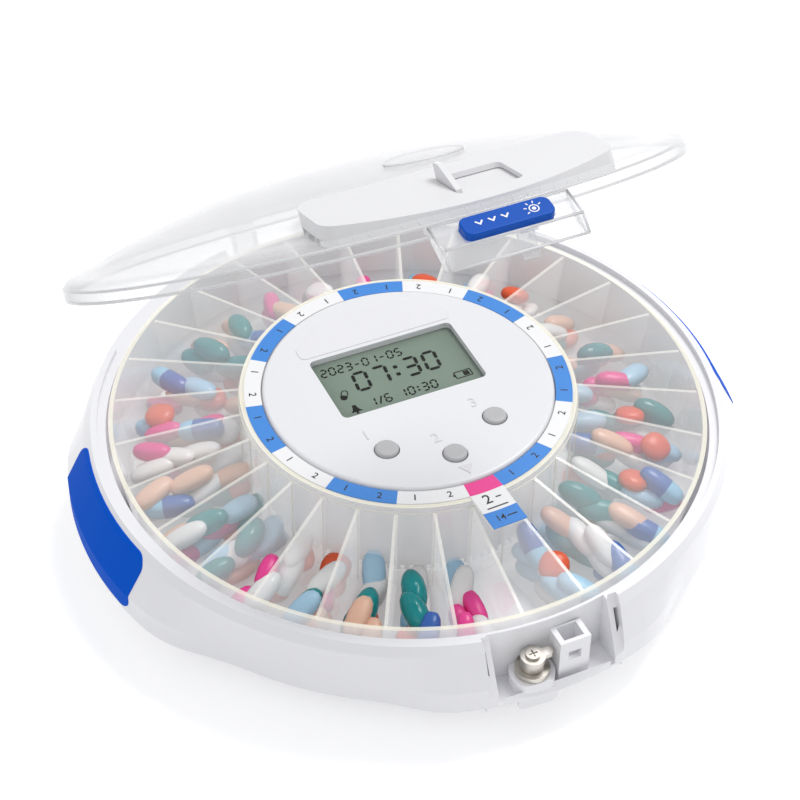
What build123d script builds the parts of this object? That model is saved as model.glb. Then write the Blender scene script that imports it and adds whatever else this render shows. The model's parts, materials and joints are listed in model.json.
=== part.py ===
from build123d import *

import math
import os

# Automatic pill dispenser: a round carousel of dose cells under a clear, lockable lid.
#
# Frame: millimetres, +Z up, origin at the centre of the footprint on the floor.
# The latch and the lock are at the front (-Y), the lid's hinge is at the back (+Y).
# The lid is modelled shut and then swung open about its hinge to its rest angle.

# ---------------------------------------------------------------- driving dimensions
# Carousel drive
ring_teeth = 116
pinion_teeth = 20
drive_module = 0.9
wheel_teeth = 32
motor_teeth = 10
motor_module = 0.5
gear_face = 5.0
wheel_face = 3.0
gear_step = 1.2              # neck between the drive pinion and its wheel
tooth_depth = 1.12           # root of the teeth below the pitch line, in modules
tooth_height = 0.85          # tip of the teeth above the pitch line, in modules
tooth_play = 0.32            # flank clearance of the teeth on each side, in modules
axle_radius = 1.5
running_gap = 0.05           # radial clearance of shafts in their bores
bracket_thickness = 1.6
bracket_half_width = 15.0
bracket_post_radius = 2.4

# Tray
ring_rim = 0.8               # wall behind the ring gear's teeth
tray_radius = 98.8           # outer radius at its rim
tray_taper = 4.8             # how much narrower the tray is at its floor
tray_wall = 1.5
tray_floor_height = 11.4     # underside of the tray above the floor
tray_rise = 0.5              # tray's rim above the case's shoulder
crown_rise = 8.2             # top of the flange that carries the printed ring, above the tray's rim
flange_thickness = 0.8
cell_count = 29
divider_thickness = 1.1
divider_drop = 1.4           # divider top below the flange, at the hub
divider_dip = 0.6            # divider top below the tray's rim
home_cell_angle = 2.2        # the empty home cell's bearing from the front, degrees
label_width = 5.5
label_thickness = 0.3
tab_reach = 15.4             # how far the printed tab runs out over the home cell

# Base
tray_gap = 1.0               # tray's rim to the wall of its well
ledge_width = 2.9            # ledge round the well on which the lid's rim rests
ledge_depth = 2.0            # how far the ledge lies below the shoulder
shoulder_width = 3.8         # case beyond the ledge, between its lobes
front_lobe = 4.8             # how far the case swells beyond that, at the front
side_lobe = 6.8              # the same at both sides, under the grips
back_lobe = 6.0              # the same at the back, round the hinge
case_wall = 2.2
well_wall = 2.0
foot_height = 2.0            # the case's underside above the floor
parting_height = 16.5        # joint line of lower and upper case, where the case is widest
lobe_height = 25.0           # the lobes keep their full swell up to here
shoulder_height = 40.0       # top of the case's shoulder
shoulder_round = 3.0         # height over which the shoulder draws in
shoulder_draw = 1.8          # how far it draws in
underside_slope = 1.08       # how far the underside draws in for each unit that it drops
deck_thickness = 1.8
deck_gap = 0.2
deck_inset = 0.4             # deck's edge inside the foot of the tray's wall
deck_tongue = 16.0           # half width of the deck's tongue under the gears
rail_height = 0.4
post_radius = 3.6
grip_reach = 29.0            # half length of a side grip
grip_corner = 5.0
grip_proud = 0.3             # grip's face beyond the case
grip_depth = 1.2             # how deep a grip is let in

# Hub, display and buttons
hub_wall = 2.0
tower_gap = 3.4              # hub tower inside the tray's bore
hub_gap = 0.4                # hub cover to printed ring
hub_rise = 1.1               # hub cover's top above the tray's flange
cover_thickness = 2.2
cover_round = 1.2
display_length = 51.8
display_width = 29.7
display_corner = 2.0
display_offset = 8.4         # display centre behind the hub centre
display_sink = 0.4           # lens below the hub cover
lens_thickness = 1.2
lcd_thickness = 2.8
lcd_frame = 1.0              # display panel beyond its window on each side
board_drop = 2.4             # board below the display panel
board_thickness = 1.6
board_gap = 5.6              # board inside the hub tower
boss_radius = 3.0
boss_inset = 5.0             # board screws inside the board's edge
boss_reach = 7.0             # board screws beyond the display's ends
button_radius = 3.9
button_collar = 1.4
button_gap = 0.3
button_rise = 1.1            # button top above the hub cover
button_round = 0.9
button_travel = 0.8
side_button_x = 19.2
side_button_y = -25.0
middle_button_y = -35.4
switch_height = 2.4
switch_body_height = 1.8
name_plate_half = 27.5
name_plate_thickness = 0.25

# Power
cell_radius = 7.15           # AA cell
cell_length = 50.0
cell_pitch = 14.8
cell_gap = 0.2               # cell to the cover below it
battery_count = 4
battery_wall = 1.6
contact_room = 3.0           # bay beyond the cells at each end
contact_thickness = 0.5
cover_plate = 1.8            # battery cover's thickness
cover_lap = 1.2              # battery cover beyond the bay's walls
cover_gap = 0.2

# Lid
lid_gap = 0.5                # lid's rim inside the ledge's wall
lid_wall = 1.6
lid_rim_height = 5.0         # height of the lid's upright rim
rim_round = 1.2              # dome's edge inside the rim
dome_rise = 17.0             # crown of the lid above its rim
dome_power = 2.2             # how the skin falls with the radius
hinge_reach = 3.8            # hinge axis beyond the lid's rim
hinge_drop = 12.0            # hinge axis below the ledge
open_angle = 36.0            # how far the lid stands open at rest, degrees
hinge_pin_radius = 1.6
knuckle_radius = 4.0
knuckle_length = 8.0
ear_radius = 3.4
ear_thickness = 4.0
hinge_gap = 0.3
ear_outer_x = 22.3

# Dispensing door in the lid
door_half_width = 46.5
door_length = 36.2           # door's back edge to the lid's rim
door_drop = 5.2              # door's top face at its back edge, below the lid's crown
door_slope = 16.4            # the top face falls towards the front by this angle, degrees
door_skin = 1.6
door_rim = 2.6               # door's front edge inside the lid's rim
door_corner = 6.0
window_left = -5.5           # edges of the dispensing window, over the home cell
window_right = 15.5
window_rim = 7.3             # window's front edge inside the tray's rim
window_length = 16.5
window_corner = 2.0
shutter_thickness = 1.4
shutter_gap = 0.25
shutter_lap = 1.6            # how far the shutter reaches past the window's edges
retainer_thickness = 0.8
fin_height = 5.0
fin_thickness = 1.8
boss_x = 4.0                 # clear oval boss on the dome, behind the door
boss_behind = 20.0
boss_length = 13.0           # half of it
boss_width = 7.0             # half of it
boss_height = 0.9

# Latch and lock
latch_half_width = 22.0
latch_gap = 1.0              # latch cover to the notch's ends
latch_skin = 1.6
latch_stand = 1.8            # latch cover's upper edge beyond the lid's rim
latch_run = 7.6              # its sloping face, outwards and down
latch_fall = 6.4
toe_run = 1.4                # its lower lip, outwards and down
toe_fall = 5.8
pad_length = 28.0
pad_width = 7.6
pad_corner = 2.6
pad_gap = 0.25
pad_drop = 0.4               # how far the pad sits below the middle of the slope
pad_height = 2.2
hook_pin_radius = 0.8
knuckle_wall = 0.5           # hook's knuckle round its pin
hook_play = 0.2              # hook's nose to the keeper's wall
recess_wall = 0.9            # wall between the recess and the well
recess_depth = 9.1
recess_lap = 2.0             # latch cover beyond the recess's ends
recess_rise = 1.0            # recess's floor above the joint line
recess_skin = 1.8
lock_x = -6.7
lock_radius = 5.5
collar_wall = 1.7
plug_radius = 3.6
cam_radius = 3.9
cam_reach = 6.9
cam_thickness = 1.6
cam_gap = 0.3                # cam to the recess's wall, and to the latch cover above it
cam_rise = 3.2               # cam above the lock's barrel
keeper_x = 0.8
keeper_width = 10.4
keeper_depth = 7.5
keeper_drop = 4.5            # keeper's top below the ledge
keeper_wall = 1.3
keeper_cheek = 1.8

# Small hardware
screw_radius = 1.5
screw_head_radius = 2.8
screw_head_height = 1.0
screw_length = 7.6
screw_inset = 9.6            # case screws inside the deck's edge
screw_gap = 0.2
board_screw_radius = 1.1
foot_width = 8.0
foot_inset = 12.0            # middle of the foot ring inside the circle of the case screws
foot_sink = 0.6

# ---------------------------------------------------------------- derived places
ring_pitch_radius = ring_teeth * drive_module / 2
pinion_pitch_radius = pinion_teeth * drive_module / 2
wheel_pitch_radius = wheel_teeth * motor_module / 2
motor_pitch_radius = motor_teeth * motor_module / 2
axle_y = ring_pitch_radius - pinion_pitch_radius
motor_y = axle_y - wheel_pitch_radius - motor_pitch_radius
tray_bore = ring_pitch_radius + tooth_depth * drive_module + ring_rim
tray_floor_top = tray_floor_height + tray_wall
tray_floor_radius = tray_radius - tray_taper
tray_rim_height = shoulder_height + tray_rise
tray_crown_height = tray_rim_height + crown_rise
well_radius = tray_radius + tray_gap
ledge_radius = well_radius + ledge_width
ledge_height = shoulder_height - ledge_depth
drum_radius = ledge_radius + shoulder_width
edge_height = shoulder_height - shoulder_round
beyond = drum_radius + 25.0
case_floor_top = foot_height + case_wall
label_inner = tray_bore - label_width
hub_radius = label_inner - hub_gap
hub_height = tray_crown_height + hub_rise
tower_outer = tray_bore - tower_gap
tower_inner = tower_outer - hub_wall
tower_top = tray_crown_height - flange_thickness - 1.1
deck_top = tray_floor_height - deck_gap - rail_height
deck_bottom = deck_top - deck_thickness
deck_radius = tray_floor_radius - deck_inset
socket_bottom = deck_bottom - 2.0
cover_bottom = hub_height - cover_thickness
lens_top = hub_height - display_sink
lens_bottom = lens_top - lens_thickness
lcd_top = cover_bottom
lcd_bottom = lcd_top - lcd_thickness
board_top = lcd_bottom - board_drop
board_bottom = board_top - board_thickness
board_radius = tower_inner - board_gap
switch_top = board_top + switch_height
gear_bottom = tray_floor_top + 0.4
wheel_bottom = gear_bottom + gear_face + gear_step
bracket_bottom = wheel_bottom + wheel_face + 0.8
bracket_top = bracket_bottom + bracket_thickness
cell_axis_height = foot_height + cover_plate + cell_radius + cell_gap
bay_half_x = battery_count * cell_pitch / 2 + 0.6
bay_half_y = cell_length / 2 + contact_room
bay_top = cell_axis_height + cell_radius + 0.6
lid_radius = ledge_radius - lid_gap
lid_seat = ledge_height
lid_rim_top = lid_seat + lid_rim_height
lid_height = lid_rim_top + dome_rise
dome_radius = lid_radius - rim_round
hinge_y = lid_radius + hinge_reach
hinge_z = ledge_height - hinge_drop
door_back_y = door_length - lid_radius
door_back_z = lid_height - door_drop
window_front = window_rim - tray_radius
window_back = window_front + window_length
notch_half_width = latch_half_width + latch_gap
recess_half_width = latch_half_width - recess_lap
recess_back = well_radius + recess_wall
recess_front_y = -recess_back - recess_depth
recess_floor_height = parting_height + recess_rise
latch_top_y, latch_top_z = -(lid_radius + latch_stand), lid_rim_top - 1.5
latch_knee_y, latch_knee_z = latch_top_y - latch_run, latch_top_z - latch_fall
latch_toe_y, latch_toe_z = latch_knee_y - toe_run, latch_knee_z - toe_fall
latch_tilt = math.degrees(math.atan2(latch_fall, latch_run))
hook_y = latch_top_y - 0.8
hook_z = latch_top_z - 6.4
hook_x0, hook_x1 = keeper_x + 2.6, keeper_x + keeper_width - 2.6
cam_height = latch_toe_z - cam_gap - cam_thickness
lock_top = cam_height - cam_rise
lock_y = -recess_back - cam_radius - cam_gap
keeper_top = ledge_height - keeper_drop
keeper_front = -recess_back - keeper_depth
screw_circle = deck_radius - screw_inset
foot_circle = screw_circle - foot_inset
button_places = [(-side_button_x, side_button_y), (0.0, middle_button_y), (side_button_x, side_button_y)]
screw_places = [(screw_circle, a) for a in (20, 90, 160, 200, 270, 340)]
# each lobe: its bearing, how far it stays full to either side, and over how much more it falls away
swells = [(0, 17, 14), (90, 19, 18), (180, 17, 14), (270, 19, 18)]


# ---------------------------------------------------------------- helpers
def disc(radius, low, high, x=0.0, y=0.0):
    """An upright cylinder between two heights."""
    return Pos(x, y, (low + high) / 2) * Cylinder(radius, high - low)


def ring(inner, outer, low, high, x=0.0, y=0.0):
    """An upright tube between two heights."""
    return disc(outer, low, high, x, y) - disc(inner, low - 1, high + 1, x, y)


def block(x0, x1, y0, y1, z0, z1):
    """A box given by its two corners."""
    centre = Pos((x0 + x1) / 2, (y0 + y1) / 2, (z0 + z1) / 2)
    return centre * Box(x1 - x0, y1 - y0, z1 - z0)


def cone(bottom_radius, top_radius, low, high):
    """An upright frustum between two heights."""
    return Pos(0, 0, (low + high) / 2) * Cone(bottom_radius, top_radius, high - low)


def rounded_slab(length, width, corner, low, high, x=0.0, y=0.0):
    """A flat plate with rounded corners."""
    face = Pos(x, y, low) * RectangleRounded(length, width, corner)
    return extrude(face, high - low)


def polar(radius, bearing):
    """The point at a radius and a bearing in degrees, counted from the front towards +X."""
    turn = math.radians(bearing)
    return radius * math.sin(turn), -radius * math.cos(turn)


def side_profile(points, x0, x1):
    """A prism along X whose outline is given as (y, z) points."""
    face = Plane.YZ * make_face(Polyline([*points, points[0]]))
    return extrude(Pos(x0, 0, 0) * face, x1 - x0, dir=(1, 0, 0))


def plateau(bearing, centre, half, fall):
    """1 within half degrees of the centre, falling smoothly to 0 over the next fall degrees."""
    away = abs((bearing - centre + 180) % 360 - 180)
    share = min(1.0, max(0.0, (half + fall - away) / fall))
    return share * share * (3 - 2 * share)


def case_swell(bearing):
    """How far the case stands out beyond its drum at a bearing from the front."""
    lobes = (front_lobe, side_lobe, back_lobe, side_lobe)
    return sum(lobe * plateau(bearing, *swell) for lobe, swell in zip(lobes, swells))


def case_outline(height, inset=0.0):
    """The case's outline at a height, drawn in by an inset."""
    if height <= parting_height:
        reach = drum_radius - underside_slope * (parting_height - height)
        share = max(0.0, 1 - (parting_height - height) / (parting_height - foot_height))
    else:
        reach = drum_radius - max(0.0, (height - edge_height) / shoulder_round) * shoulder_draw
        fade = edge_height + 1.0
        share = min(1.0, max(0.0, (fade - height) / (fade - lobe_height)))
    turns = case_bearings()
    arcs = []
    for start, end in zip(turns, turns[1:]):
        through = [start, (start + end) / 2, end]
        radii = [reach - inset + share * case_swell(bearing) for bearing in through]
        points = [(*polar(radius, bearing), height) for radius, bearing in zip(radii, through)]
        arcs.append(ThreePointArc(*points))
    return Wire(arcs)


def case_bearings():
    """Bearings at which the arcs of the case's outline meet."""
    turns = []
    for centre, half, fall in swells:
        reach = half + fall
        turns += [centre - reach, centre - half - fall / 2, centre - half]
        turns += [centre + half, centre + half + fall / 2, centre + reach]
    return [*turns, turns[0] + 360]


def case_loft(heights, inset=0.0):
    """The solid through the case's outlines at some heights."""
    wires = [case_outline(h, inset) for h in heights]
    return Solid.make_loft(wires, ruled=True)


def swung(shape):
    """A piece of the closed lid, swung open about the hinge to its rest angle."""
    hinge = Pos(0, hinge_y, hinge_z)
    return hinge * Rot(-open_angle, 0, 0) * hinge.inverse() * shape


def gear_outline(teeth, module, internal=False):
    """A gear's outline with straight-sided teeth, each tooth four points."""
    pitch = teeth * module / 2
    outer = pitch + module * (tooth_depth if internal else tooth_height)
    inner = pitch - module * (tooth_height if internal else tooth_depth)
    half = 90 / teeth
    slack = math.degrees(tooth_play * module / pitch)
    slope = math.degrees(math.tan(math.radians(20)) * module / pitch)
    flip = -1 if internal else 1
    root = half + flip * slope - slack * flip
    tip = half - flip * slope - slack * flip
    points = []
    for k in range(teeth):
        centre = 360 * k / teeth
        for radius, offset in ((inner, -root), (outer, -tip), (outer, tip), (inner, root)):
            turn = math.radians(centre + offset)
            points.append((radius * math.cos(turn), radius * math.sin(turn)))
    return make_face(Polyline([*points, points[0]]))


# ---------------------------------------------------------------- case
def make_lower_case():
    """Tapered bowl with the battery bay, posts for the deck and a groove for the foot ring."""
    bowl = case_loft([foot_height, parting_height])
    mouth = parting_height + 1.0
    inside = drum_radius - case_wall
    radii = [inside - underside_slope * (parting_height - h) for h in (case_floor_top, mouth)]
    bowl -= cone(*radii, case_floor_top, mouth)
    bay = block(-bay_half_x - battery_wall, bay_half_x + battery_wall,
                -bay_half_y - battery_wall, bay_half_y + battery_wall, foot_height, bay_top + battery_wall)
    bowl += bay
    bowl -= block(-bay_half_x, bay_half_x, -bay_half_y, bay_half_y, foot_height - 1, bay_top)
    bowl -= battery_cover_slab(cover_gap)
    sink = foot_height + 0.6 + screw_head_height
    for circle, angle in screw_places:
        x, y = polar(circle, angle)
        bowl += disc(post_radius, foot_height, socket_bottom, x, y)
        bowl -= disc(screw_radius + screw_gap, foot_height - 1, socket_bottom + 1, x, y)
        bowl -= disc(screw_head_radius + screw_gap, foot_height - 1, sink, x, y)
    bowl -= foot_band(foot_height - 1, foot_height + foot_sink)
    x, y = cover_screw_place()
    bowl += disc(post_radius, foot_height + cover_plate, bay_top, x, y)
    bowl -= disc(screw_radius, foot_height, bay_top - 1.2, x, y)
    boss = disc(lock_radius + collar_wall - 0.6, parting_height - 3.4, parting_height, lock_x, lock_y)
    bowl += boss & disc(drum_radius + front_lobe - 1.0, 0, parting_height)
    bowl -= disc(lock_radius, parting_height - 5, parting_height + 1, lock_x, lock_y)
    return bowl


def battery_cover_slab(growth=0.0):
    """The battery cover's plate, with its screw tongue at the front."""
    x_reach = bay_half_x + cover_lap + growth
    y_reach = bay_half_y + cover_lap + growth
    low = foot_height - (1.0 if growth else 0.0)
    slab = rounded_slab(2 * x_reach, 2 * y_reach, 3, low, foot_height + cover_plate)
    x, y = cover_screw_place()
    return slab + disc(5.0 + growth, low, foot_height + cover_plate, x, y)


def cover_screw_place():
    """Where the battery cover's screw stands."""
    return 0.0, -bay_half_y - battery_wall - post_radius


def make_upper_case():
    """Shoulder ring of the case: outer skin, ledge for the lid, wall of the tray's well."""
    waist = (lobe_height + edge_height) / 2
    skin = case_loft([parting_height, lobe_height, waist, edge_height, shoulder_height])
    skin -= case_loft([parting_height, lobe_height, waist, edge_height - case_wall], case_wall)
    skin += ring(well_radius, well_radius + well_wall, parting_height, ledge_height)
    skin += ring(well_radius, ledge_radius + 1.2, ledge_height - 2, ledge_height)
    skin -= disc(well_radius, parting_height - 1, shoulder_height + 1)
    skin -= disc(ledge_radius, ledge_height, shoulder_height + 1)
    rear = hinge_y - 40
    skin -= block(-beyond, beyond, rear, beyond, ledge_height - 0.1, shoulder_height + 1)
    skin = cut_front_recess(skin)
    skin = cut_hinge_recess(skin)
    for side in (-1, 1):
        skin -= grip_shape(side)
    return skin


def cut_front_recess(skin):
    """Pocket for the lock and the latch, walled all round, under a sloping landing."""
    outside = ring(recess_back, beyond, 0, lid_height)
    pod_x = recess_half_width + recess_skin
    pod = block(-pod_x, pod_x, recess_front_y - 3, -well_radius + 8,
                recess_floor_height - recess_skin, ledge_height)
    envelope = case_loft([parting_height, lobe_height, edge_height, shoulder_height])
    skin += (pod & envelope) & outside
    run = recess_depth + 3
    low = ledge_height - 2.0 * run
    landing = [(-recess_back, ledge_height), (-recess_back - run, low), (-beyond, low),
               (-beyond, lid_height), (-recess_back, lid_height)]
    skin -= side_profile(landing, -notch_half_width, notch_half_width) & outside
    pocket = block(-recess_half_width, recess_half_width, recess_front_y, -well_radius + 10,
                   recess_floor_height, lid_height)
    skin -= pocket & outside
    collar = disc(lock_radius + collar_wall, parting_height, lock_top - 2.0, lock_x, lock_y)
    collar &= disc(-recess_front_y + 1, 0, lid_height)
    skin += collar & outside
    skin -= disc(lock_radius, parting_height - 1, lock_top + 1, lock_x, lock_y)
    return skin


def cut_hinge_recess(skin):
    """Open pocket at the back with two ears that hold the hinge pin."""
    outside = ring(well_radius + well_wall, beyond, 0, lid_height)
    floor_height = hinge_z - knuckle_radius - 1.6
    half = ear_outer_x + 2.0
    pod_x = half + recess_skin
    pod = block(-pod_x, pod_x, well_radius - 10, beyond, floor_height - recess_skin, ledge_height - 0.1)
    envelope = case_loft([parting_height, lobe_height, edge_height, shoulder_height])
    skin += (pod & envelope) & outside
    skin -= block(-half, half, well_radius - 10, beyond, floor_height, lid_height) & outside
    for side in (-1, 1):
        outer = side * ear_outer_x
        inner = side * (ear_outer_x - ear_thickness)
        low, high = min(outer, inner), max(outer, inner)
        ear = Pos((low + high) / 2, hinge_y, hinge_z) * Rot(0, 90, 0) * Cylinder(ear_radius, ear_thickness)
        ear += block(low, high, hinge_y - ear_radius, hinge_y + ear_radius, floor_height, hinge_z)
        skin += ear
    pin_bore = Pos(0, hinge_y, hinge_z) * Rot(0, 90, 0) * Cylinder(hinge_pin_radius, 2 * ear_outer_x + 2)
    return skin - pin_bore


def grip_shape(side):
    """Soft grip let into a side lobe, rounded at its four corners."""
    low, high = parting_height + 1.5, shoulder_height - 1.4
    outline = Plane.YZ * RectangleRounded(2 * grip_reach, high - low, grip_corner)
    near = well_radius - 20
    window = extrude(Pos(side * near, 0, (low + high) / 2) * outline, beyond - near, dir=(side, 0, 0))
    levels = [parting_height, lobe_height, (lobe_height + edge_height) / 2, edge_height, shoulder_height]
    band = case_loft(levels, -grip_proud) - case_loft(levels, grip_depth)
    return window & band


def make_deck():
    """Flat chassis plate under the tray with the low rail that the tray glides on."""
    deck = ring(tower_inner - 3, deck_radius, deck_bottom, deck_top)
    tongue_y = bay_half_y + battery_wall + 1.4
    deck += block(-deck_tongue, deck_tongue, tongue_y, tower_inner, deck_bottom, deck_top)
    rail = (tray_bore + tray_floor_radius) / 2
    deck += ring(rail - 1, rail + 1, deck_top, deck_top + rail_height)
    for circle, angle in screw_places:
        x, y = polar(circle, angle)
        deck += disc(post_radius, socket_bottom, deck_bottom, x, y)
        deck -= disc(screw_radius, socket_bottom - 1, deck_top - 0.6, x, y)
    return deck


def make_hub_tower():
    """Upright drum that carries the display head and has a window for the drive pinion."""
    tower = ring(tower_inner, tower_outer, deck_top, tower_top)
    tower += ring(tower_inner - 2.6, tower_inner, tower_top - 5.4, tower_top - 3.8)
    reach = pinion_pitch_radius + drive_module + 1.5
    tower -= block(-reach, reach, axle_y - 14, tray_bore, gear_bottom - 0.8, bracket_bottom - 0.2)
    return tower


def make_hub_cover():
    """White top of the hub with the display opening, button holes and board bosses."""
    cover = disc(hub_radius, cover_bottom, hub_height)
    cover = fillet(cover.edges().sort_by(Axis.Z)[-1], cover_round)
    cover += ring(tower_inner - 2.2, tower_inner - 0.2, tower_top - 3.8, cover_bottom)
    for x, y in board_screw_places():
        cover += disc(boss_radius, board_top, cover_bottom, x, y)
        cover -= disc(board_screw_radius, board_top - 1, cover_bottom - 0.8, x, y)
    opening = rounded_slab(display_length, display_width, display_corner, cover_bottom - 1, hub_height + 1,
                           0, display_offset)
    cover -= opening
    for x, y in button_places:
        cover -= disc(button_radius + button_gap, cover_bottom - 1, hub_height + 1, x, y)
    return cover


def board_screw_places():
    """The four screws that hold the board under the hub cover, clear of the display's ends."""
    x = display_length / 2 + boss_reach
    y = math.sqrt((board_radius - boss_inset) ** 2 - x * x)
    return [(sx * x, sy * y) for sx in (-1, 1) for sy in (-1, 1)]


# ---------------------------------------------------------------- display, board and buttons
def make_lcd_lens():
    """Clear window over the display."""
    return rounded_slab(display_length, display_width, display_corner, lens_bottom, lens_top,
                        0, display_offset)


def make_lcd_panel():
    """Glass display panel on its plastic frame, standing on the board."""
    length, width = display_length + 2 * lcd_frame, display_width + 2 * lcd_frame
    panel = rounded_slab(length, width, 1.0, lcd_bottom, lcd_top, 0, display_offset)
    leg_y = display_width / 2 - 2.85
    for sx in (-1, 1):
        x = sx * (display_length / 2 - 2)
        panel += block(x - 2, x + 2, display_offset - leg_y, display_offset + leg_y, board_top, lcd_bottom)
    return panel


def make_board():
    """Round circuit board with clearance holes for its screws."""
    board = disc(board_radius, board_bottom, board_top)
    for x, y in board_screw_places():
        board -= disc(board_screw_radius + screw_gap, board_bottom - 1, board_top + 1, x, y)
    return board


def make_button(place):
    """Domed button cap with a collar under the hub cover and a stem over its switch."""
    x, y = place
    collar_top, collar_bottom = cover_bottom - 0.2, cover_bottom - 1.2
    cap = disc(button_radius, collar_top, hub_height + button_rise, x, y)
    cap = fillet(cap.edges().sort_by(Axis.Z)[-1], button_round)
    cap += disc(button_radius + button_collar, collar_bottom, collar_top, x, y)
    return cap + disc(1.5, switch_top + button_travel + 0.1, collar_bottom, x, y)


def make_switches():
    """Three tactile switches under the buttons."""
    switches = []
    for x, y in button_places:
        body_top = board_top + switch_body_height
        body = block(x - 3, x + 3, y - 3, y + 3, board_top, body_top)
        switches.append(body + disc(1.2, body_top, switch_top, x, y))
    return Compound(switches)


def make_buzzer():
    """Round sounder hanging under the board."""
    can = disc(6.0, board_bottom - 7.0, board_bottom, 24, -6)
    return can - disc(1.0, board_bottom - 8, board_bottom - 5.5, 24, -6)


def make_name_plate():
    """Blank raised label behind the display, one long edge following the hub's rim."""
    return extrude(Pos(0, 0, hub_height) * arched_label(), name_plate_thickness)


def arched_label():
    """Outline of the blank label: a straight front edge and an arched back edge."""
    front_y = display_offset + display_width / 2 + 1.6
    reach = name_plate_half
    crown = hub_radius - 5.0
    side_y = front_y + 5.5
    outline = [Line((-reach, front_y), (reach, front_y)), Line((reach, front_y), (reach, side_y)),
               ThreePointArc((reach, side_y), (0, crown), (-reach, side_y)),
               Line((-reach, side_y), (-reach, front_y))]
    face = make_face(outline)
    return fillet(face.vertices(), 2.0)


# ---------------------------------------------------------------- tray
def make_tray_inner_wall():
    """Inner wall of the tray with the flange that reaches over the hub tower."""
    wall = ring(tray_bore, tray_bore + tray_wall, tray_floor_top, tray_crown_height)
    flange_low = tray_crown_height - flange_thickness
    flange = ring(label_inner + 0.2, tray_bore + tray_wall, flange_low, tray_crown_height)
    x_half = tray_bore * math.tan(math.radians(180 / cell_count))
    tongue = block(-x_half, x_half, -tray_bore - tab_reach + 0.4, -tray_bore - tray_wall / 2,
                   flange_low, tray_crown_height)
    return wall + flange + (Rot(0, 0, home_cell_angle) * tongue)


def make_tray_outer_wall():
    """Outer wall of the tray, leaning outwards from the floor to the rim."""
    low, high = tray_floor_top, tray_rim_height
    outer = cone(tray_floor_radius, tray_radius, low, high)
    return outer - cone(tray_floor_radius - tray_wall, tray_radius - tray_wall, low, high)


def make_tray_floor():
    """Flat floor of the tray."""
    return ring(tray_bore, tray_floor_radius, tray_floor_height, tray_floor_top)


def make_dividers():
    """Upright walls between the cells, highest at the hub."""
    top_in = tray_crown_height - flange_thickness - divider_drop
    top_out = tray_rim_height - divider_dip
    r0, r1 = tray_bore + tray_wall, tray_radius - tray_wall
    floor_reach = tray_floor_radius - tray_wall
    z0, z1 = tray_floor_top, tray_rim_height
    wall_at_top = floor_reach + (r1 - floor_reach) * (top_out - z0) / (z1 - z0)
    outline = [(-r0 + 3, z0), (-floor_reach, z0), (-wall_at_top, top_out), (-r0 + 3, top_in)]
    plate = side_profile(outline, -divider_thickness / 2, divider_thickness / 2)
    plate -= disc(r0, 0, tray_crown_height)
    outer = cone(floor_reach, r1, z0, z1)
    plate = plate & outer
    first = home_cell_angle + 180 / cell_count
    return Compound([Rot(0, 0, first + 360 * k / cell_count) * plate for k in range(cell_count)])


def make_ring_gear():
    """Toothed ring moulded into the foot of the tray's bore."""
    rim = Circle(tray_bore) - gear_outline(ring_teeth, drive_module, internal=True)
    return extrude(Pos(0, 0, gear_bottom) * rim, gear_face)


def make_dose_label():
    """Printed paper ring on the tray's flange with a tab over the home cell."""
    low, high = tray_crown_height, tray_crown_height + label_thickness
    x_half = tray_bore * math.tan(math.radians(180 / cell_count))
    tab = block(-x_half, x_half, -tray_bore - tab_reach, -tray_bore + 1, low, high)
    band = ring(label_inner, tray_bore, low, high)
    return band + (Rot(0, 0, home_cell_angle) * tab)


# ---------------------------------------------------------------- drive
def make_drive_gear():
    """Drive pinion and its wheel, moulded together, bored for the axle."""
    pinion = extrude(Rot(0, 0, 90) * gear_outline(pinion_teeth, drive_module), gear_face)
    neck = Pos(0, 0, gear_face + gear_step / 2) * Cylinder(pinion_pitch_radius / 2, gear_step)
    wheel = extrude(Rot(0, 0, 90) * gear_outline(wheel_teeth, motor_module), wheel_face)
    wheel = Pos(0, 0, gear_face + gear_step) * wheel
    gear = pinion + neck + wheel - Cylinder(axle_radius + running_gap, 60)
    return Pos(0, axle_y, gear_bottom) * gear


def make_motor_pinion():
    """Small pinion pressed on the motor's shaft."""
    turn = 180 / motor_teeth
    gear = extrude(Rot(0, 0, turn + 90) * gear_outline(motor_teeth, motor_module), wheel_face)
    gear += Pos(0, 0, wheel_face + 0.3) * Cylinder(1.6, 0.6)
    return Pos(0, motor_y, wheel_bottom) * gear


def make_axle():
    """Steel axle of the drive gear, from a socket in the deck up to the bracket."""
    return disc(axle_radius, deck_top, bracket_top, 0, axle_y)


def make_motor_bracket():
    """Plate over the gears on two posts, holding the motor and the axle's top."""
    low_y, high_y = motor_y - 9.0, axle_y + 2.6
    width, middle = 2 * bracket_half_width, (low_y + high_y) / 2
    plate = rounded_slab(width, high_y - low_y, 2.0, bracket_bottom, bracket_top, 0, middle)
    post_x, post_y = bracket_half_width - 2.6, axle_y - 6.8
    for side in (-1, 1):
        plate += disc(bracket_post_radius, deck_top, bracket_bottom, side * post_x, post_y)
    plate -= disc(axle_radius, bracket_bottom - 1, bracket_top + 1, 0, axle_y)
    return plate - disc(2.2, bracket_bottom - 1, bracket_top + 1, 0, motor_y)


def make_gear_motor():
    """Motor with its gearbox, flats on two sides, shaft pointing down."""
    can = disc(6.0, bracket_top + 6, board_bottom - 1.4, 0, motor_y)
    can &= block(-5, 5, motor_y - 7, motor_y + 7, 0, 60)
    box = block(-6, 6, motor_y - 5, motor_y + 5, bracket_top, bracket_top + 6)
    shaft = disc(1.0, wheel_bottom + wheel_face + 0.6, bracket_top, 0, motor_y)
    return can + box + shaft


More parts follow.
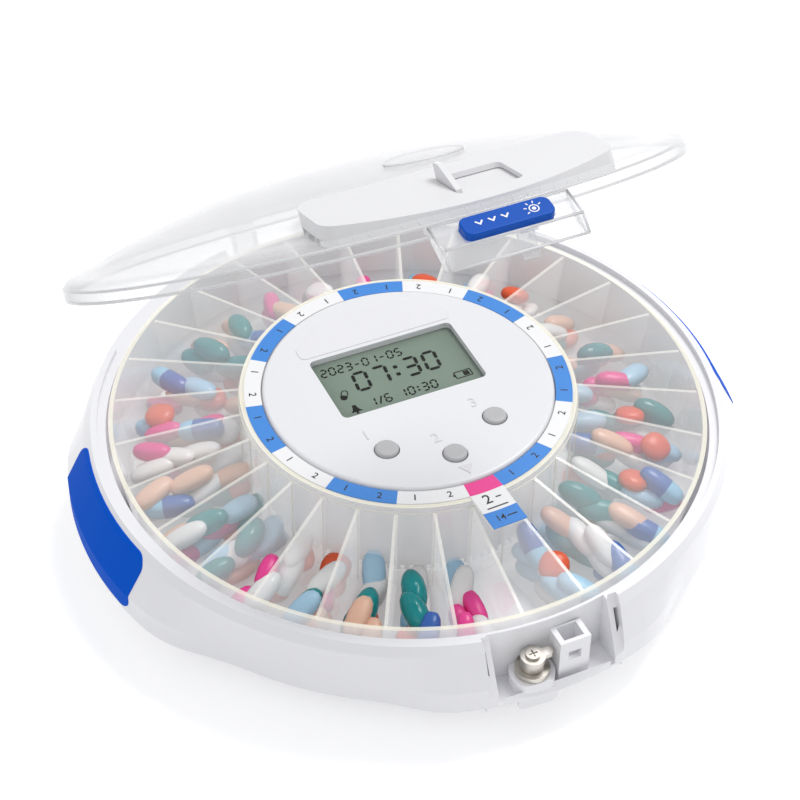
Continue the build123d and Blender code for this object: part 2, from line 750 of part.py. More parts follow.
# ---------------------------------------------------------------- power
def make_batteries():
    """Four AA cells side by side."""
    cells = []
    for k in range(battery_count):
        x = (k - (battery_count - 1) / 2) * cell_pitch
        side = -1 if k % 2 else 1
        cell = Rot(90, 0, 0) * Cylinder(cell_radius, cell_length - 1.2)
        nub = Pos(0, side * (cell_length / 2 - 0.1), 0) * Rot(90, 0, 0) * Cylinder(2.7, 1.0)
        cells.append(Pos(x, 0, cell_axis_height) * (cell + nub))
    return Compound(cells)


def make_contacts():
    """Sprung strips at both ends of the cells."""
    strips = []
    for k in range(battery_count):
        x = (k - (battery_count - 1) / 2) * cell_pitch
        for side in (-1, 1):
            wall = side * bay_half_y
            face = side * (bay_half_y - contact_thickness)
            low, high = min(wall, face), max(wall, face)
            strip = block(x - 4, x + 4, low, high, cell_axis_height - 5, cell_axis_height + 5)
            tip = side * (cell_length / 2 + 0.6)
            near, far = min(face, tip), max(face, tip)
            strip += disc_along_y(2.2, near, far, x, cell_axis_height)
            strips.append(strip)
    return Compound(strips)


def disc_along_y(radius, low, high, x, z):
    """A cylinder lying along Y."""
    return Pos(x, (low + high) / 2, z) * Rot(90, 0, 0) * Cylinder(radius, high - low)


def make_battery_cover():
    """Cover of the battery bay, flush with the underside, held by one screw."""
    slab = battery_cover_slab()
    x, y = cover_screw_place()
    slab -= disc(screw_radius + screw_gap, 0, foot_height + cover_plate + 1, x, y)
    return slab - disc(screw_head_radius, 0, foot_height + screw_head_height, x, y)


def screw(x, y, head_low, length, head_radius, shank_radius):
    """A pan-head screw pointing up, with a cross recess in its head."""
    head_top = head_low + screw_head_height
    head = disc(head_radius, head_low, head_top, x, y)
    head -= block(x - 1.6, x + 1.6, y - 0.3, y + 0.3, head_low - 1, head_low + 0.6)
    head -= block(x - 0.3, x + 0.3, y - 1.6, y + 1.6, head_low - 1, head_low + 0.6)
    return head + disc(shank_radius, head_top, head_top + length, x, y)


def make_case_screws():
    """Six screws that join the lower case to the deck."""
    head_low = foot_height + 0.6
    length = deck_bottom - 0.4 - head_low
    return Compound([screw(*polar(c, a), head_low, length, screw_head_radius, screw_radius)
                     for c, a in screw_places])


def make_cover_screw():
    """The battery cover's screw."""
    x, y = cover_screw_place()
    return screw(x, y, foot_height, screw_length, screw_head_radius - 0.1, screw_radius)


def make_board_screws():
    """Four screws that hold the board to the hub cover."""
    head_low = board_bottom - screw_head_height
    length = board_thickness + 3.0
    return Compound([screw(x, y, head_low, length, 2 * board_screw_radius, board_screw_radius)
                     for x, y in board_screw_places()])


def foot_band(low, high):
    """The flat ring that the case stands on, between two heights."""
    inner = disc(foot_circle - foot_width / 2, low - 1, high + 1)
    return disc(foot_circle + foot_width / 2, low, high) - inner


def make_foot_ring():
    """Rubber ring let into the underside."""
    return foot_band(0, foot_height + foot_sink)


# ---------------------------------------------------------------- lid
def dome_height(radius):
    """Height of the closed lid's outer skin at a radius."""
    return lid_rim_top + dome_rise * (1 - (radius / dome_radius) ** dome_power)


def dome_solid(drop):
    """The solid below the lid's skin, drawn in by a drop."""
    radii = [0.0, 0.25, 0.5, 0.7, 0.85, 0.94, 1.0]
    reach = dome_radius - drop
    skin = [(r * reach, dome_height(r * dome_radius) - drop) for r in radii]
    rim = lid_radius - drop
    low = lid_seat - (1 if drop else 0)
    arc = Spline(skin, tangents=[(1, 0), (0.62, -0.78)])
    turn = Line(skin[-1], (rim, lid_rim_top - rim_round - drop * 0.4))
    side = Line(turn @ 1, (rim, low))
    floor = Line((rim, low), (0, low))
    axis = Line((0, low), skin[0])
    face = Plane.XZ * make_face([arc, turn, side, floor, axis])
    return revolve(face, Axis.Z)


def door_plane(depth):
    """Everything below the door's top face lowered by a depth, lid shut."""
    fall = math.tan(math.radians(door_slope))
    back, reach = door_back_z - depth, 2 * door_length
    front_y, rear_y = door_back_y - reach, door_back_y + reach
    outline = [(front_y, back - reach * fall), (rear_y, back + reach * fall), (rear_y, 0), (front_y, 0)]
    return side_profile(outline, -lid_radius, lid_radius)


def door_prism(inset=0.0):
    """Upright prism over the door's outline: straight back edge, front edge along the rim."""
    reach = lid_radius - door_rim - inset
    half = door_half_width - inset
    side_y = -math.sqrt(reach * reach - half * half)
    back = door_back_y - inset
    outline = [Line((-half, back), (half, back)), Line((half, back), (half, side_y)),
               ThreePointArc((half, side_y), (0, -reach), (-half, side_y)),
               Line((-half, side_y), (-half, back))]
    face = fillet(make_face(outline).vertices(), max(1.0, door_corner - inset))
    return extrude(Pos(0, 0, lid_seat) * face, lid_height - lid_seat)


def window_prism():
    """Upright prism over the dispensing window."""
    length, width = window_right - window_left, window_back - window_front
    middle = ((window_right + window_left) / 2, (window_back + window_front) / 2)
    return rounded_slab(length, width, window_corner, lid_seat - 2, lid_height, *middle)


def lid_crown():
    """The solid below the lid's skin, above the upright part of its rim."""
    return dome_solid(0) & disc(2 * lid_radius, lid_rim_top - rim_round, 2 * lid_height)


def lid_rim_closed():
    """Clear upright rim of the lid with the hinge arms and their knuckles at the back."""
    rim = dome_solid(0) - dome_solid(lid_wall) - door_prism()
    top = lid_rim_top - rim_round
    arm = [(lid_radius - 1.0, lid_seat + 0.6), (lid_radius - 0.2, top), (hinge_y + 2.6, top - 1.6),
           (hinge_y + knuckle_radius, hinge_z), (hinge_y - 2.6, hinge_z + 1.0),
           (ledge_radius + 0.5, hinge_z + 6)]
    for side in (-1, 1):
        inner = ear_outer_x - ear_thickness - hinge_gap - knuckle_length
        x0, x1 = sorted((side * inner, side * (inner + knuckle_length)))
        rim += side_profile(arm, x0, x1)
        rim += Pos((x0 + x1) / 2, hinge_y, hinge_z) * Rot(0, 90, 0) * Cylinder(knuckle_radius, x1 - x0)
    bore = Cylinder(hinge_pin_radius + running_gap, 3 * ear_outer_x)
    return rim - lid_crown() - Pos(0, hinge_y, hinge_z) * Rot(0, 90, 0) * bore


def lid_dome_closed():
    """Clear shallow dome of the lid above its rim, cut out for the door."""
    return lid_crown() - dome_solid(lid_wall) - door_prism() + dome_boss()


def dome_boss():
    """Clear oval boss on the dome behind the door."""
    place = Pos(boss_x, door_back_y + boss_behind, lid_rim_top)
    oval = extrude(place * Ellipse(boss_length, boss_width), 2 * dome_rise)
    rise = dome_solid(-boss_height)
    return (oval & rise) - dome_solid(lid_wall)


def door_plate_closed():
    """White door housing: flat sloping face, upright walls down to the dome, one window."""
    body = door_prism() & door_plane(0)
    core = door_prism(door_skin) & door_plane(door_skin)
    body -= core
    body -= dome_solid(lid_wall)
    return body - window_prism()


def door_retainer_closed():
    """Thin plate under the shutter that keeps it in the housing."""
    low = door_skin + 2 * shutter_gap + shutter_thickness
    plate = door_prism(door_skin) & door_plane(low)
    return plate - door_plane(low + retainer_thickness) - window_prism()


def shutter_closed():
    """Sliding shutter under the window with its finger fin at the left edge."""
    length = window_right - window_left + 2 * shutter_lap
    front, back = window_front - shutter_lap / 2, window_back + shutter_lap
    middle = ((window_right + window_left) / 2, (front + back) / 2)
    face = door_skin + shutter_gap
    sheet = rounded_slab(length, back - front, window_corner, lid_seat, lid_height, *middle)
    sheet &= door_plane(face)
    sheet -= door_plane(face + shutter_thickness)
    fall = math.tan(math.radians(door_slope))
    y0, y1 = window_back - 1.2, window_front + 2.0
    top0, top1 = [door_back_z + (y - door_back_y) * fall for y in (y0, y1)]
    outline = [(y0, top0 - face), (y0, top0 + fin_height), (y0 - 3.5, top0 + fin_height - 0.6),
               (y1, top1 + 0.6), (y1, top1 - face)]
    left = window_left + shutter_gap
    return sheet + side_profile(outline, left, left + fin_thickness)


# ---------------------------------------------------------------- latch, in the closed lid's place
def latch_profile(skin):
    """The (y, z) outline of the latch cover's bent plate, one skin thick."""
    root = -(lid_radius - 1.0)
    return [(root, latch_top_z + 0.2), (latch_top_y, latch_top_z), (latch_knee_y, latch_knee_z),
            (latch_toe_y, latch_toe_z), (latch_toe_y + skin, latch_toe_z),
            (latch_knee_y + skin, latch_knee_z - 0.6), (latch_top_y + 0.4, latch_top_z - skin),
            (root, latch_top_z - skin)]


def latch_cover_closed():
    """Clear cover of the latch: bent plate, two side cheeks, two ears for the hook's pin."""
    cover = side_profile(latch_profile(latch_skin), -latch_half_width, latch_half_width)
    cheek = [(latch_top_y, latch_top_z), (latch_knee_y, latch_knee_z), (latch_toe_y, latch_toe_z),
             (latch_toe_y + 2.4, latch_toe_z), (latch_top_y, latch_toe_z + 9.4)]
    for side in (-1, 1):
        x0, x1 = sorted((side * latch_half_width, side * (latch_half_width - latch_skin)))
        cover += side_profile(cheek, x0, x1)
    cover -= pad_block(pad_gap, latch_skin + 0.6)
    for x in (hook_x0 - 1.6, hook_x1 + 0.2):
        cover += block(x, x + 1.4, hook_y - 1.3, -lid_radius + 1, hook_z - 1.3, hook_z + 1.0)
        cover += block(x, x + 1.4, hook_y + 1.7, -lid_radius + 1, hook_z, latch_top_z - latch_skin)
    cover -= dome_solid(0)
    pin = Pos((hook_x0 + hook_x1) / 2, hook_y, hook_z) * Rot(0, 90, 0)
    return cover - pin * Cylinder(hook_pin_radius, keeper_width * 3)


def pad_block(growth, depth):
    """The press pad's outline on the sloping face, sunk to a depth and grown by a gap."""
    middle = Pos(0, (latch_top_y + latch_knee_y) / 2, (latch_top_z + latch_knee_z) / 2)
    face = RectangleRounded(pad_length + 2 * growth, pad_width + 2 * growth, pad_corner)
    tilted = middle * Rot(latch_tilt, 0, 0)
    return tilted * Pos(0, -pad_drop, -depth) * extrude(face, depth + pad_height)


def press_pad_closed():
    """Blue pad that is pressed to open the lid, with a flange that keeps it in the cover."""
    pad = pad_block(0.0, latch_skin - 0.2)
    pad = fillet(pad.edges().filter_by(lambda e: e.length > 3).group_by(Axis.Z)[-1], 0.5)
    return pad


def latch_hook_closed():
    """Hook that holds the lid shut: knuckle, pushing arm and toothed leg."""
    axis = Pos((hook_x0 + hook_x1) / 2, hook_y, hook_z) * Rot(0, 90, 0)
    knuckle = axis * Cylinder(hook_pin_radius + knuckle_wall, hook_x1 - hook_x0)
    leg_low = keeper_top - 7.5
    nose = keeper_front + keeper_wall + hook_play
    leg = [(hook_y - 0.7, hook_z), (hook_y + 0.4, hook_z), (hook_y + 0.4, leg_low), (nose + 0.6, leg_low),
           (nose, leg_low + 1.6), (hook_y - 0.7, leg_low + 1.6)]
    arm_end = hook_y - 4.0
    arm = [(hook_y, hook_z + 0.9), (arm_end, hook_z - 0.3), (arm_end, hook_z - 1.6), (hook_y, hook_z - 0.9)]
    hook = knuckle + side_profile(leg, hook_x0, hook_x1) + side_profile(arm, hook_x0, hook_x1)
    return hook - axis * Cylinder(hook_pin_radius + running_gap, keeper_width * 3)


def hook_pin_closed():
    """Pin of the hook, held in the cover's two ears."""
    length = hook_x1 - hook_x0 + 3.2
    return Pos((hook_x0 + hook_x1) / 2, hook_y, hook_z) * Rot(0, 90, 0) * Cylinder(hook_pin_radius, length)


def make_keeper():
    """White block in the recess with a pocket and a catch window for the hook."""
    back, front = -recess_back, keeper_front
    keeper = block(keeper_x, keeper_x + keeper_width, front, back, recess_floor_height, keeper_top)
    keeper -= block(keeper_x + keeper_cheek, keeper_x + keeper_width - keeper_cheek,
                    front + keeper_wall, back - 0.7, keeper_top - 9.5, keeper_top + 1)
    window = block(keeper_x + 3, keeper_x + keeper_width - 3, front - 1, front + 2,
                   keeper_top - 8.2, keeper_top - 4.6)
    return keeper - window


def make_lock_body():
    """Nickel-plated lock barrel standing in its collar, bored for the plug."""
    barrel = disc(lock_radius, parting_height - 3.0, lock_top, lock_x, lock_y)
    return barrel - disc(plug_radius + running_gap, 0, lock_top + 1, lock_x, lock_y)


def make_lock_plug():
    """Turning plug with its keyway below and the square end that carries the cam."""
    plug = disc(plug_radius, parting_height - 2.8, cam_height, lock_x, lock_y)
    plug += disc(cam_radius - 0.2, lock_top + 0.15, cam_height, lock_x, lock_y)
    plug -= block(lock_x - 0.5, lock_x + 0.5, lock_y - 2.6, lock_y + 2.6, 0, parting_height + 4)
    return plug - disc(1.0, cam_height - 4, cam_height + 1, lock_x, lock_y)


def make_lock_cam():
    """Flat cam whose tongue reaches under the latch cover's lower edge."""
    high = cam_height + cam_thickness
    cam = disc(cam_radius, cam_height, high, lock_x, lock_y)
    tongue = block(lock_x, lock_x + cam_reach - 1.6, lock_y - 1.6, lock_y + 1.6, cam_height, high)
    cam += tongue + disc(1.6, cam_height, high, lock_x + cam_reach - 1.6, lock_y)
    return cam - disc(1.0, cam_height - 1, high + 1, lock_x, lock_y)


def make_cam_screw():
    """Cross-head screw that holds the cam on the plug."""
    low = cam_height + cam_thickness
    head = disc(2.3, low, low + 1.0, lock_x, lock_y)
    head -= block(lock_x - 1.4, lock_x + 1.4, lock_y - 0.25, lock_y + 0.25, low + 0.4, low + 2)
    head -= block(lock_x - 0.25, lock_x + 0.25, lock_y - 1.4, lock_y + 1.4, low + 0.4, low + 2)
    return head + disc(1.0, cam_height - 3.6, low, lock_x, lock_y)


def make_hinge_pin():
    """Steel pin through the ears and the lid's knuckles."""
    return Pos(0, hinge_y, hinge_z) * Rot(0, 90, 0) * Cylinder(hinge_pin_radius, 2 * ear_outer_x)


def all_parts():
    """Every sub-part by its name."""
    parts = {
        "lower_case": make_lower_case(), "upper_case": make_upper_case(),
        "side_grip_left": grip_shape(-1), "side_grip_right": grip_shape(1),
        "carousel_deck": make_deck(), "hub_tower": make_hub_tower(), "hub_cover": make_hub_cover(),
        "name_plate": make_name_plate(), "lcd_lens": make_lcd_lens(), "lcd_panel": make_lcd_panel(),
        "main_board": make_board(), "board_screws": make_board_screws(),
        "button_switches": make_switches(), "buzzer": make_buzzer(), "motor_bracket": make_motor_bracket(),
        "gear_motor": make_gear_motor(), "gear_axle": make_axle(), "motor_pinion": make_motor_pinion(),
        "drive_gear": make_drive_gear(), "batteries": make_batteries(), "battery_contacts": make_contacts(),
        "battery_cover": make_battery_cover(), "battery_cover_screw": make_cover_screw(),
        "case_screws": make_case_screws(), "foot_ring": make_foot_ring(),
        "tray_inner_wall": make_tray_inner_wall(), "tray_outer_wall": make_tray_outer_wall(),
        "tray_floor": make_tray_floor(), "tray_dividers": make_dividers(),
        "tray_ring_gear": make_ring_gear(), "dose_label_ring": make_dose_label(),
        "hinge_pin": make_hinge_pin(), "latch_keeper": make_keeper(),
        "lock_body": make_lock_body(), "lock_plug": make_lock_plug(), "lock_cam": make_lock_cam(),
        "lock_cam_screw": make_cam_screw(),
        "lid_rim": swung(lid_rim_closed()), "lid_dome": swung(lid_dome_closed()),
        "door_plate": swung(door_plate_closed()),
        "door_retainer": swung(door_retainer_closed()), "door_shutter": swung(shutter_closed()),
        "latch_cover": swung(latch_cover_closed()), "press_pad": swung(press_pad_closed()),
        "latch_hook": swung(latch_hook_closed()), "hook_pin": swung(hook_pin_closed()),
    }
    for name, place in zip(("button_left", "button_middle", "button_right"), button_places):
        parts[name] = make_button(place)
    return parts


if __name__ == "__main__":
    os.makedirs("parts", exist_ok=True)
    for node, shape in all_parts().items():
        export_step(shape, f"parts/{node}.step")
    print(f"{len(os.listdir('parts'))} nodes written")
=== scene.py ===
"""The dressed pill dispenser: finishes for its CAD nodes, printed marks, display and contents.

All lengths are metres in the frame's own axes: +Z up, the latch towards -Y, the hinge towards +Y.
"""

import json
import logging
import math
from dataclasses import dataclass, field
from enum import Enum
from typing import Any, Iterable, Sequence

import bpy
import numpy as np
from mathutils import Matrix, Vector

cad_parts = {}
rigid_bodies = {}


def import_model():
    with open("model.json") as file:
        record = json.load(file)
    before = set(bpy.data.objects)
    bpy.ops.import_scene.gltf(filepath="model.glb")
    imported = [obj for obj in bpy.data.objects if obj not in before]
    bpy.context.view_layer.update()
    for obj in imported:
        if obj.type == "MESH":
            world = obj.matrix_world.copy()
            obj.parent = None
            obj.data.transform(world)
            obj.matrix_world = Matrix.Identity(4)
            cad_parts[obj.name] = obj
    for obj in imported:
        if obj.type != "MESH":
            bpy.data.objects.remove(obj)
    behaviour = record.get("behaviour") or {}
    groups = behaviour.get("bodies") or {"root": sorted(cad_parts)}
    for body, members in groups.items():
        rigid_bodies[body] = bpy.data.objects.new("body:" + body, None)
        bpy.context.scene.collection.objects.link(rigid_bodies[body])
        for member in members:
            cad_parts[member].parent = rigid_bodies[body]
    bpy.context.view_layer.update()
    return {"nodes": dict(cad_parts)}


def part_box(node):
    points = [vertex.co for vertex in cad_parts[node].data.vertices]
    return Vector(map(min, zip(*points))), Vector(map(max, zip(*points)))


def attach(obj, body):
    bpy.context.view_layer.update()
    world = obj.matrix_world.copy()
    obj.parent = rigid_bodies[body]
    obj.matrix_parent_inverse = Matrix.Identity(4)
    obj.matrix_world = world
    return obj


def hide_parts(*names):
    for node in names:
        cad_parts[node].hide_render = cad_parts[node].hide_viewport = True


log = logging.getLogger("pill_dispenser")
MM = 0.001
FULL_TURN = 2 * math.pi
Colour = tuple[float, float, float]


# ------------------------------------------------------------------ shader expressions
class Signal:
    """A shader socket that can be used in arithmetic; each operator adds one Math node."""

    def __init__(self, graph: "Graph", socket: bpy.types.NodeSocket) -> None:
        """Wraps an output socket of a graph's node."""
        self.graph = graph
        self.socket = socket

    def maths(self, operation: str, *others: Any) -> "Signal":
        """Adds a Math node.

        Args:
            operation: the node's operation, such as ADD.
            others: the remaining inputs, numbers or signals.

        Returns:
            The node's value.
        """
        inputs = dict(enumerate((self, *others)))
        return self.graph.node("ShaderNodeMath", {"operation": operation}, inputs)

    def __add__(self, other: Any) -> "Signal":
        """Sum."""
        return self.maths("ADD", other)

    __radd__ = __add__

    def __sub__(self, other: Any) -> "Signal":
        """Difference."""
        return self.maths("SUBTRACT", other)

    def __rsub__(self, other: Any) -> "Signal":
        """Difference with the signal on the right."""
        return self.maths("MULTIPLY", -1.0).maths("ADD", other)

    def __mul__(self, other: Any) -> "Signal":
        """Product."""
        return self.maths("MULTIPLY", other)

    __rmul__ = __mul__

    def __truediv__(self, other: Any) -> "Signal":
        """Quotient."""
        return self.maths("DIVIDE", other)

    def __gt__(self, other: Any) -> "Signal":
        """1 where the signal is greater."""
        return self.maths("GREATER_THAN", other)

    def __lt__(self, other: Any) -> "Signal":
        """1 where the signal is smaller."""
        return self.maths("LESS_THAN", other)

    def floor(self) -> "Signal":
        """Largest whole number that is not above the signal."""
        return self.maths("FLOOR")

    def fraction(self) -> "Signal":
        """What is left above the whole number."""
        return self.maths("FRACT")


class Graph:
    """Adds nodes to one node tree."""

    def __init__(self, tree: bpy.types.NodeTree) -> None:
        """Keeps the tree."""
        self.tree = tree

    def node(self, kind: str, settings: dict[str, Any], inputs: dict[Any, Any], output: int | str = 0) -> Signal:
        """Adds any node.

        Args:
            kind: the node's Blender type.
            settings: properties set first; a ramp's stops come as "stops".
            inputs: values or signals by socket name or number.
            output: which output to hand back.

        Returns:
            The chosen output as a signal.
        """
        made = self.tree.nodes.new(kind)
        for key, value in settings.items():
            if key == "stops":
                ramp = made.color_ramp.elements
                while len(ramp) < len(value):
                    ramp.new(0.5)
                for stop, (place, colour) in zip(ramp, value):
                    stop.position, stop.color = place, (*colour, 1.0)
            else:
                setattr(made, key, value)
        for key, value in inputs.items():
            self.feed(made.inputs[key], value)
        return Signal(self, made.outputs[output])

    def feed(self, socket: bpy.types.NodeSocket, value: Any) -> None:
        """Links a signal to a socket, or sets its value."""
        if isinstance(value, Signal):
            self.tree.links.new(value.socket, socket)
        elif isinstance(value, tuple) and len(value) == 3 and socket.type == "RGBA":
            socket.default_value = (*value, 1.0)
        else:
            socket.default_value = value

    def place(self) -> Signal:
        """The object coordinates."""
        return self.node("ShaderNodeTexCoord", {}, {}, "Object")

    def axes(self) -> tuple[Signal, Signal, Signal]:
        """The three object coordinates as numbers."""
        split = self.node("ShaderNodeSeparateXYZ", {}, {0: self.place()})
        sockets = split.socket.node.outputs
        return tuple(Signal(self, sockets[k]) for k in range(3))

    def noise(self, scale: float, detail: float = 2.0, vector: Signal | None = None) -> Signal:
        """Even noise from 0 to 1 on the object coordinates."""
        inputs = {"Vector": vector or self.place(), "Scale": scale, "Detail": detail}
        return self.node("ShaderNodeTexNoise", {}, inputs, "Fac")

    def mix(self, share: Any, low: Any, high: Any) -> Signal:
        """A colour between two colours."""
        made = self.tree.nodes.new("ShaderNodeMix")
        made.data_type = "RGBA"
        for socket, value in zip((made.inputs[0], made.inputs[6], made.inputs[7]), (share, low, high)):
            self.feed(socket, value)
        return Signal(self, made.outputs[2])

    def bump(self, height: Signal, strength: float, distance: float) -> Signal:
        """A normal bent by a height."""
        inputs = {"Height": height, "Strength": strength, "Distance": distance}
        return self.node("ShaderNodeBump", {}, inputs, "Normal")

    def slant(self, power: float) -> Signal:
        """From 0 where a surface faces the eye to 1 where it is seen edge on, raised to a power."""
        return self.node("ShaderNodeLayerWeight", {}, {"Blend": 0.5}, "Facing").maths("POWER", power)

    def lamp_share(self) -> Signal:
        """1 for rays that carry light to a surface, 0 for what is looked at."""
        path = self.node("ShaderNodeLightPath", {}, {}, "Is Shadow Ray")
        bounced = Signal(self, path.socket.node.outputs["Is Diffuse Ray"])
        return path.maths("MAXIMUM", bounced)

    def seen_share(self) -> Signal:
        """1 for rays from the eye, also by way of a mirror or clear glass."""
        path = self.node("ShaderNodeLightPath", {}, {}, "Is Camera Ray")
        outputs = path.socket.node.outputs
        for name in ("Is Glossy Ray", "Is Transmission Ray"):
            path = path.maths("MAXIMUM", Signal(self, outputs[name]))
        return path

    def upward(self) -> Signal:
        """How far a surface faces up: the Z part of its normal."""
        normal = self.node("ShaderNodeNewGeometry", {}, {}, "Normal")
        return self.node("ShaderNodeSeparateXYZ", {}, {0: normal}, "Z")


class Shader(Graph):
    """Builds one material around a Principled shader."""

    def __init__(self, name: str) -> None:
        """Starts a material with an empty Principled shader."""
        self.material = bpy.data.materials.new(name)
        self.material.use_nodes = True
        super().__init__(self.material.node_tree)
        self.surface = self.tree.nodes["Principled BSDF"]

    def set(self, **values: Any) -> "Shader":
        """Sets or links the Principled shader's sockets; underscores stand for spaces."""
        for key, value in values.items():
            self.feed(self.surface.inputs[key.replace("_", " ")], value)
        return self


# ------------------------------------------------------------------ finishes
@dataclass(frozen=True)
class MouldedPlastic:
    """Opaque moulded plastic with faint mottling and a fine grain."""

    name: str
    colour: Colour
    roughness: float = 0.3
    coat: float = 0.25
    grain: float = 0.04
    grain_scale: float = 2600.0
    shine: float = 0.5

    def build(self) -> bpy.types.Material:
        """Makes the material."""
        shader = Shader(self.name)
        cloud = shader.noise(34.0, 3.0)
        darker = tuple(0.965 * c for c in self.colour)
        colour = shader.mix(cloud, darker, self.colour)
        fine = shader.noise(self.grain_scale, 1.0)
        normal = shader.bump(fine, self.grain, 0.0002)
        shader.set(Base_Color=colour, Roughness=cloud * 0.06 + (self.roughness - 0.03), Normal=normal)
        shader.set(Coat_Weight=self.coat, Coat_Roughness=0.12, IOR=1.5, Specular_IOR_Level=self.shine)
        return shader.material


@dataclass(frozen=True)
class ClearPlastic:
    """Clear moulded plastic: see-through face on, denser at a slant, with a pale painted highlight on upward top
    edges.

    Its rim is a painted shade, the darker colour seen edge on; its emission strength is a painted glow that lights
    the moulding as if from within; and passing is the share of its alpha that lamps don't meet.
    """

    name: str
    colour: Colour
    veil: float = 0.1
    slant: float = 0.5
    power: float = 2.5
    roughness: float = 0.05
    wave: float = 0.05
    edge: Colour | None = None
    highlight_alpha: float = 0.8
    highlight_from: float = 0.0
    rim: Colour | None = None
    painted_glow: float = 0.0
    coat: float = 1.0
    shine: float = 0.5
    passing: float = 0.85

    def build(self) -> bpy.types.Material:
        """Makes the material: alpha = veil + slant share + a faint flow, and more on upward edges with a painted
        highlight.
        """
        shader = Shader(self.name)
        flow = shader.noise(22.0, 2.0)
        alpha = shader.slant(self.power) * self.slant + flow * 0.06 + (self.veil - 0.03)
        tint = tuple(0.975 * c for c in self.colour)
        colour = shader.mix(flow, tint, self.colour)
        # painted shade: where the surface is seen edge on, its colour turns to the darker rim colour
        if self.rim:
            colour = shader.mix(shader.slant(self.power), colour, self.rim)
        # painted highlight: faces that point up, above a height, are made pale and more opaque, as if lit from above
        if self.edge:
            edge = (shader.upward() > 0.6) * (shader.axes()[2] > self.highlight_from)
            alpha = alpha.maths("MAXIMUM", edge * self.highlight_alpha)
            colour = shader.mix(edge, colour, self.edge)
        shader.set(Base_Color=colour, Alpha=alpha * (1.0 - shader.lamp_share() * self.passing))
        # painted light: an emission in the plastic's own colour makes it glow as if lit through
        shader.set(Emission_Color=colour, Emission_Strength=self.painted_glow)
        shader.set(Normal=shader.bump(flow, self.wave, 0.0015))
        shader.set(Roughness=flow * 0.03 + self.roughness, IOR=1.7, Specular_IOR_Level=self.shine)
        shader.set(Coat_Weight=self.coat, Coat_Roughness=0.03)
        return shader.material


@dataclass(frozen=True)
class Metal:
    """Plated or bare metal with a turned grain."""

    name: str
    colour: Colour
    roughness: float = 0.28
    grain: float = 0.06

    def build(self) -> bpy.types.Material:
        """Makes the material."""
        shader = Shader(self.name)
        fine = shader.noise(900.0, 3.0)
        worn = tuple(0.86 * c for c in self.colour)
        shader.set(Base_Color=shader.mix(fine, worn, self.colour), Metallic=1.0)
        shader.set(Roughness=fine * 0.16 + self.roughness, Normal=shader.bump(fine, self.grain, 0.0002))
        return shader.material


@dataclass(frozen=True)
class Ink:
    """Flat printed ink on a smooth film."""

    name: str
    colour: Colour
    roughness: float = 0.4
    shine: float = 0.5

    def build(self) -> bpy.types.Material:
        """Makes the material."""
        shader = Shader(self.name)
        speck = shader.noise(1500.0, 1.0)
        lighter = tuple(min(1.0, c + 0.02) for c in self.colour)
        shader.set(Base_Color=shader.mix(speck, self.colour, lighter), Roughness=speck * 0.05 + self.roughness)
        shader.set(Specular_IOR_Level=self.shine)
        return shader.material


WHITE_ABS = MouldedPlastic("white_abs", (0.86, 0.86, 0.885))
HUB_WHITE = MouldedPlastic("hub_white", (0.79, 0.793, 0.815), roughness=0.36, coat=0.15)
SOFT_BLUE = MouldedPlastic("soft_blue", (0.0, 0.095, 0.62), roughness=0.6, coat=0.0, grain=0.1, shine=0.05)
PAD_BLUE = MouldedPlastic("pad_blue", (0.0, 0.08, 0.46), roughness=0.36, coat=0.0, shine=0.18)
BUTTON_GREY = MouldedPlastic("button_grey", (0.47, 0.47, 0.48), roughness=0.42, coat=0.1, grain=0.08)
# rim, in the clear finishes below, is a painted shade: the darker colour seen edge on
LID_CLEAR = ClearPlastic("lid_clear", (0.84, 0.845, 0.855), veil=0.17, slant=0.8, power=2.6,
                         rim=(0.5, 0.5, 0.515), coat=0.15, shine=0.1, roughness=0.15)
LATCH_CLEAR = ClearPlastic("latch_clear", (0.86, 0.865, 0.875), veil=0.28, slant=0.55, power=1.8,
                           rim=(0.6, 0.6, 0.61))
# painted highlight lines: pale face on, dark edge on, for thin tubes along the lid's and latch's edges
CLEAR_HIGHLIGHT_LINE = ClearPlastic("bead_clear", (0.82, 0.82, 0.835), veil=0.6, slant=0.5, power=1.5, wave=0.0,
                          rim=(0.36, 0.36, 0.375), coat=0.2, shine=0.2)
# painted highlight: the pale ivory of the tray's upward top edges
TOP_HIGHLIGHT_IVORY: Colour = (0.80, 0.77, 0.64)
# painted highlight: pale, faintly glowing tubes along the tray's edges
IVORY_HIGHLIGHT_LINE = ClearPlastic("ivory_bead", (0.84, 0.82, 0.72), veil=0.34, slant=0.4, power=1.6, wave=0.0,
                          painted_glow=0.1, coat=0.3)
# painted glow: the emission strengths given below to the tray, divider and floor finishes
TRAY_CLEAR = ClearPlastic("tray_clear", (0.87, 0.87, 0.875), veil=0.24, slant=0.4, power=2.0, roughness=0.12,
                          edge=TOP_HIGHLIGHT_IVORY, highlight_from=39.6 * MM, highlight_alpha=0.6, painted_glow=0.4)
DIVIDER_CLEAR = ClearPlastic("divider_clear", (0.88, 0.88, 0.885), veil=0.13, slant=0.35, power=2.0,
                             roughness=0.1, edge=(0.84, 0.83, 0.76), highlight_from=20.0 * MM, highlight_alpha=0.36,
                             painted_glow=0.42, coat=0.4)
FLOOR_CLEAR = ClearPlastic("tray_floor_clear", (0.88, 0.88, 0.885), veil=0.5, slant=0.3, roughness=0.15,
                           painted_glow=0.3)
LENS_CLEAR = ClearPlastic("lens_clear", (0.8, 0.82, 0.81), veil=0.005, slant=0.1, roughness=0.03, wave=0.0)
NICKEL = Metal("nickel_plate", (0.62, 0.59, 0.54))
PLATE_WHITE = MouldedPlastic("plate_white", (0.80, 0.80, 0.82), roughness=0.22, coat=0.3, grain=0.0)
MARK_WHITE = MouldedPlastic("mark_white", (0.72, 0.72, 0.74), roughness=0.4, coat=0.1)
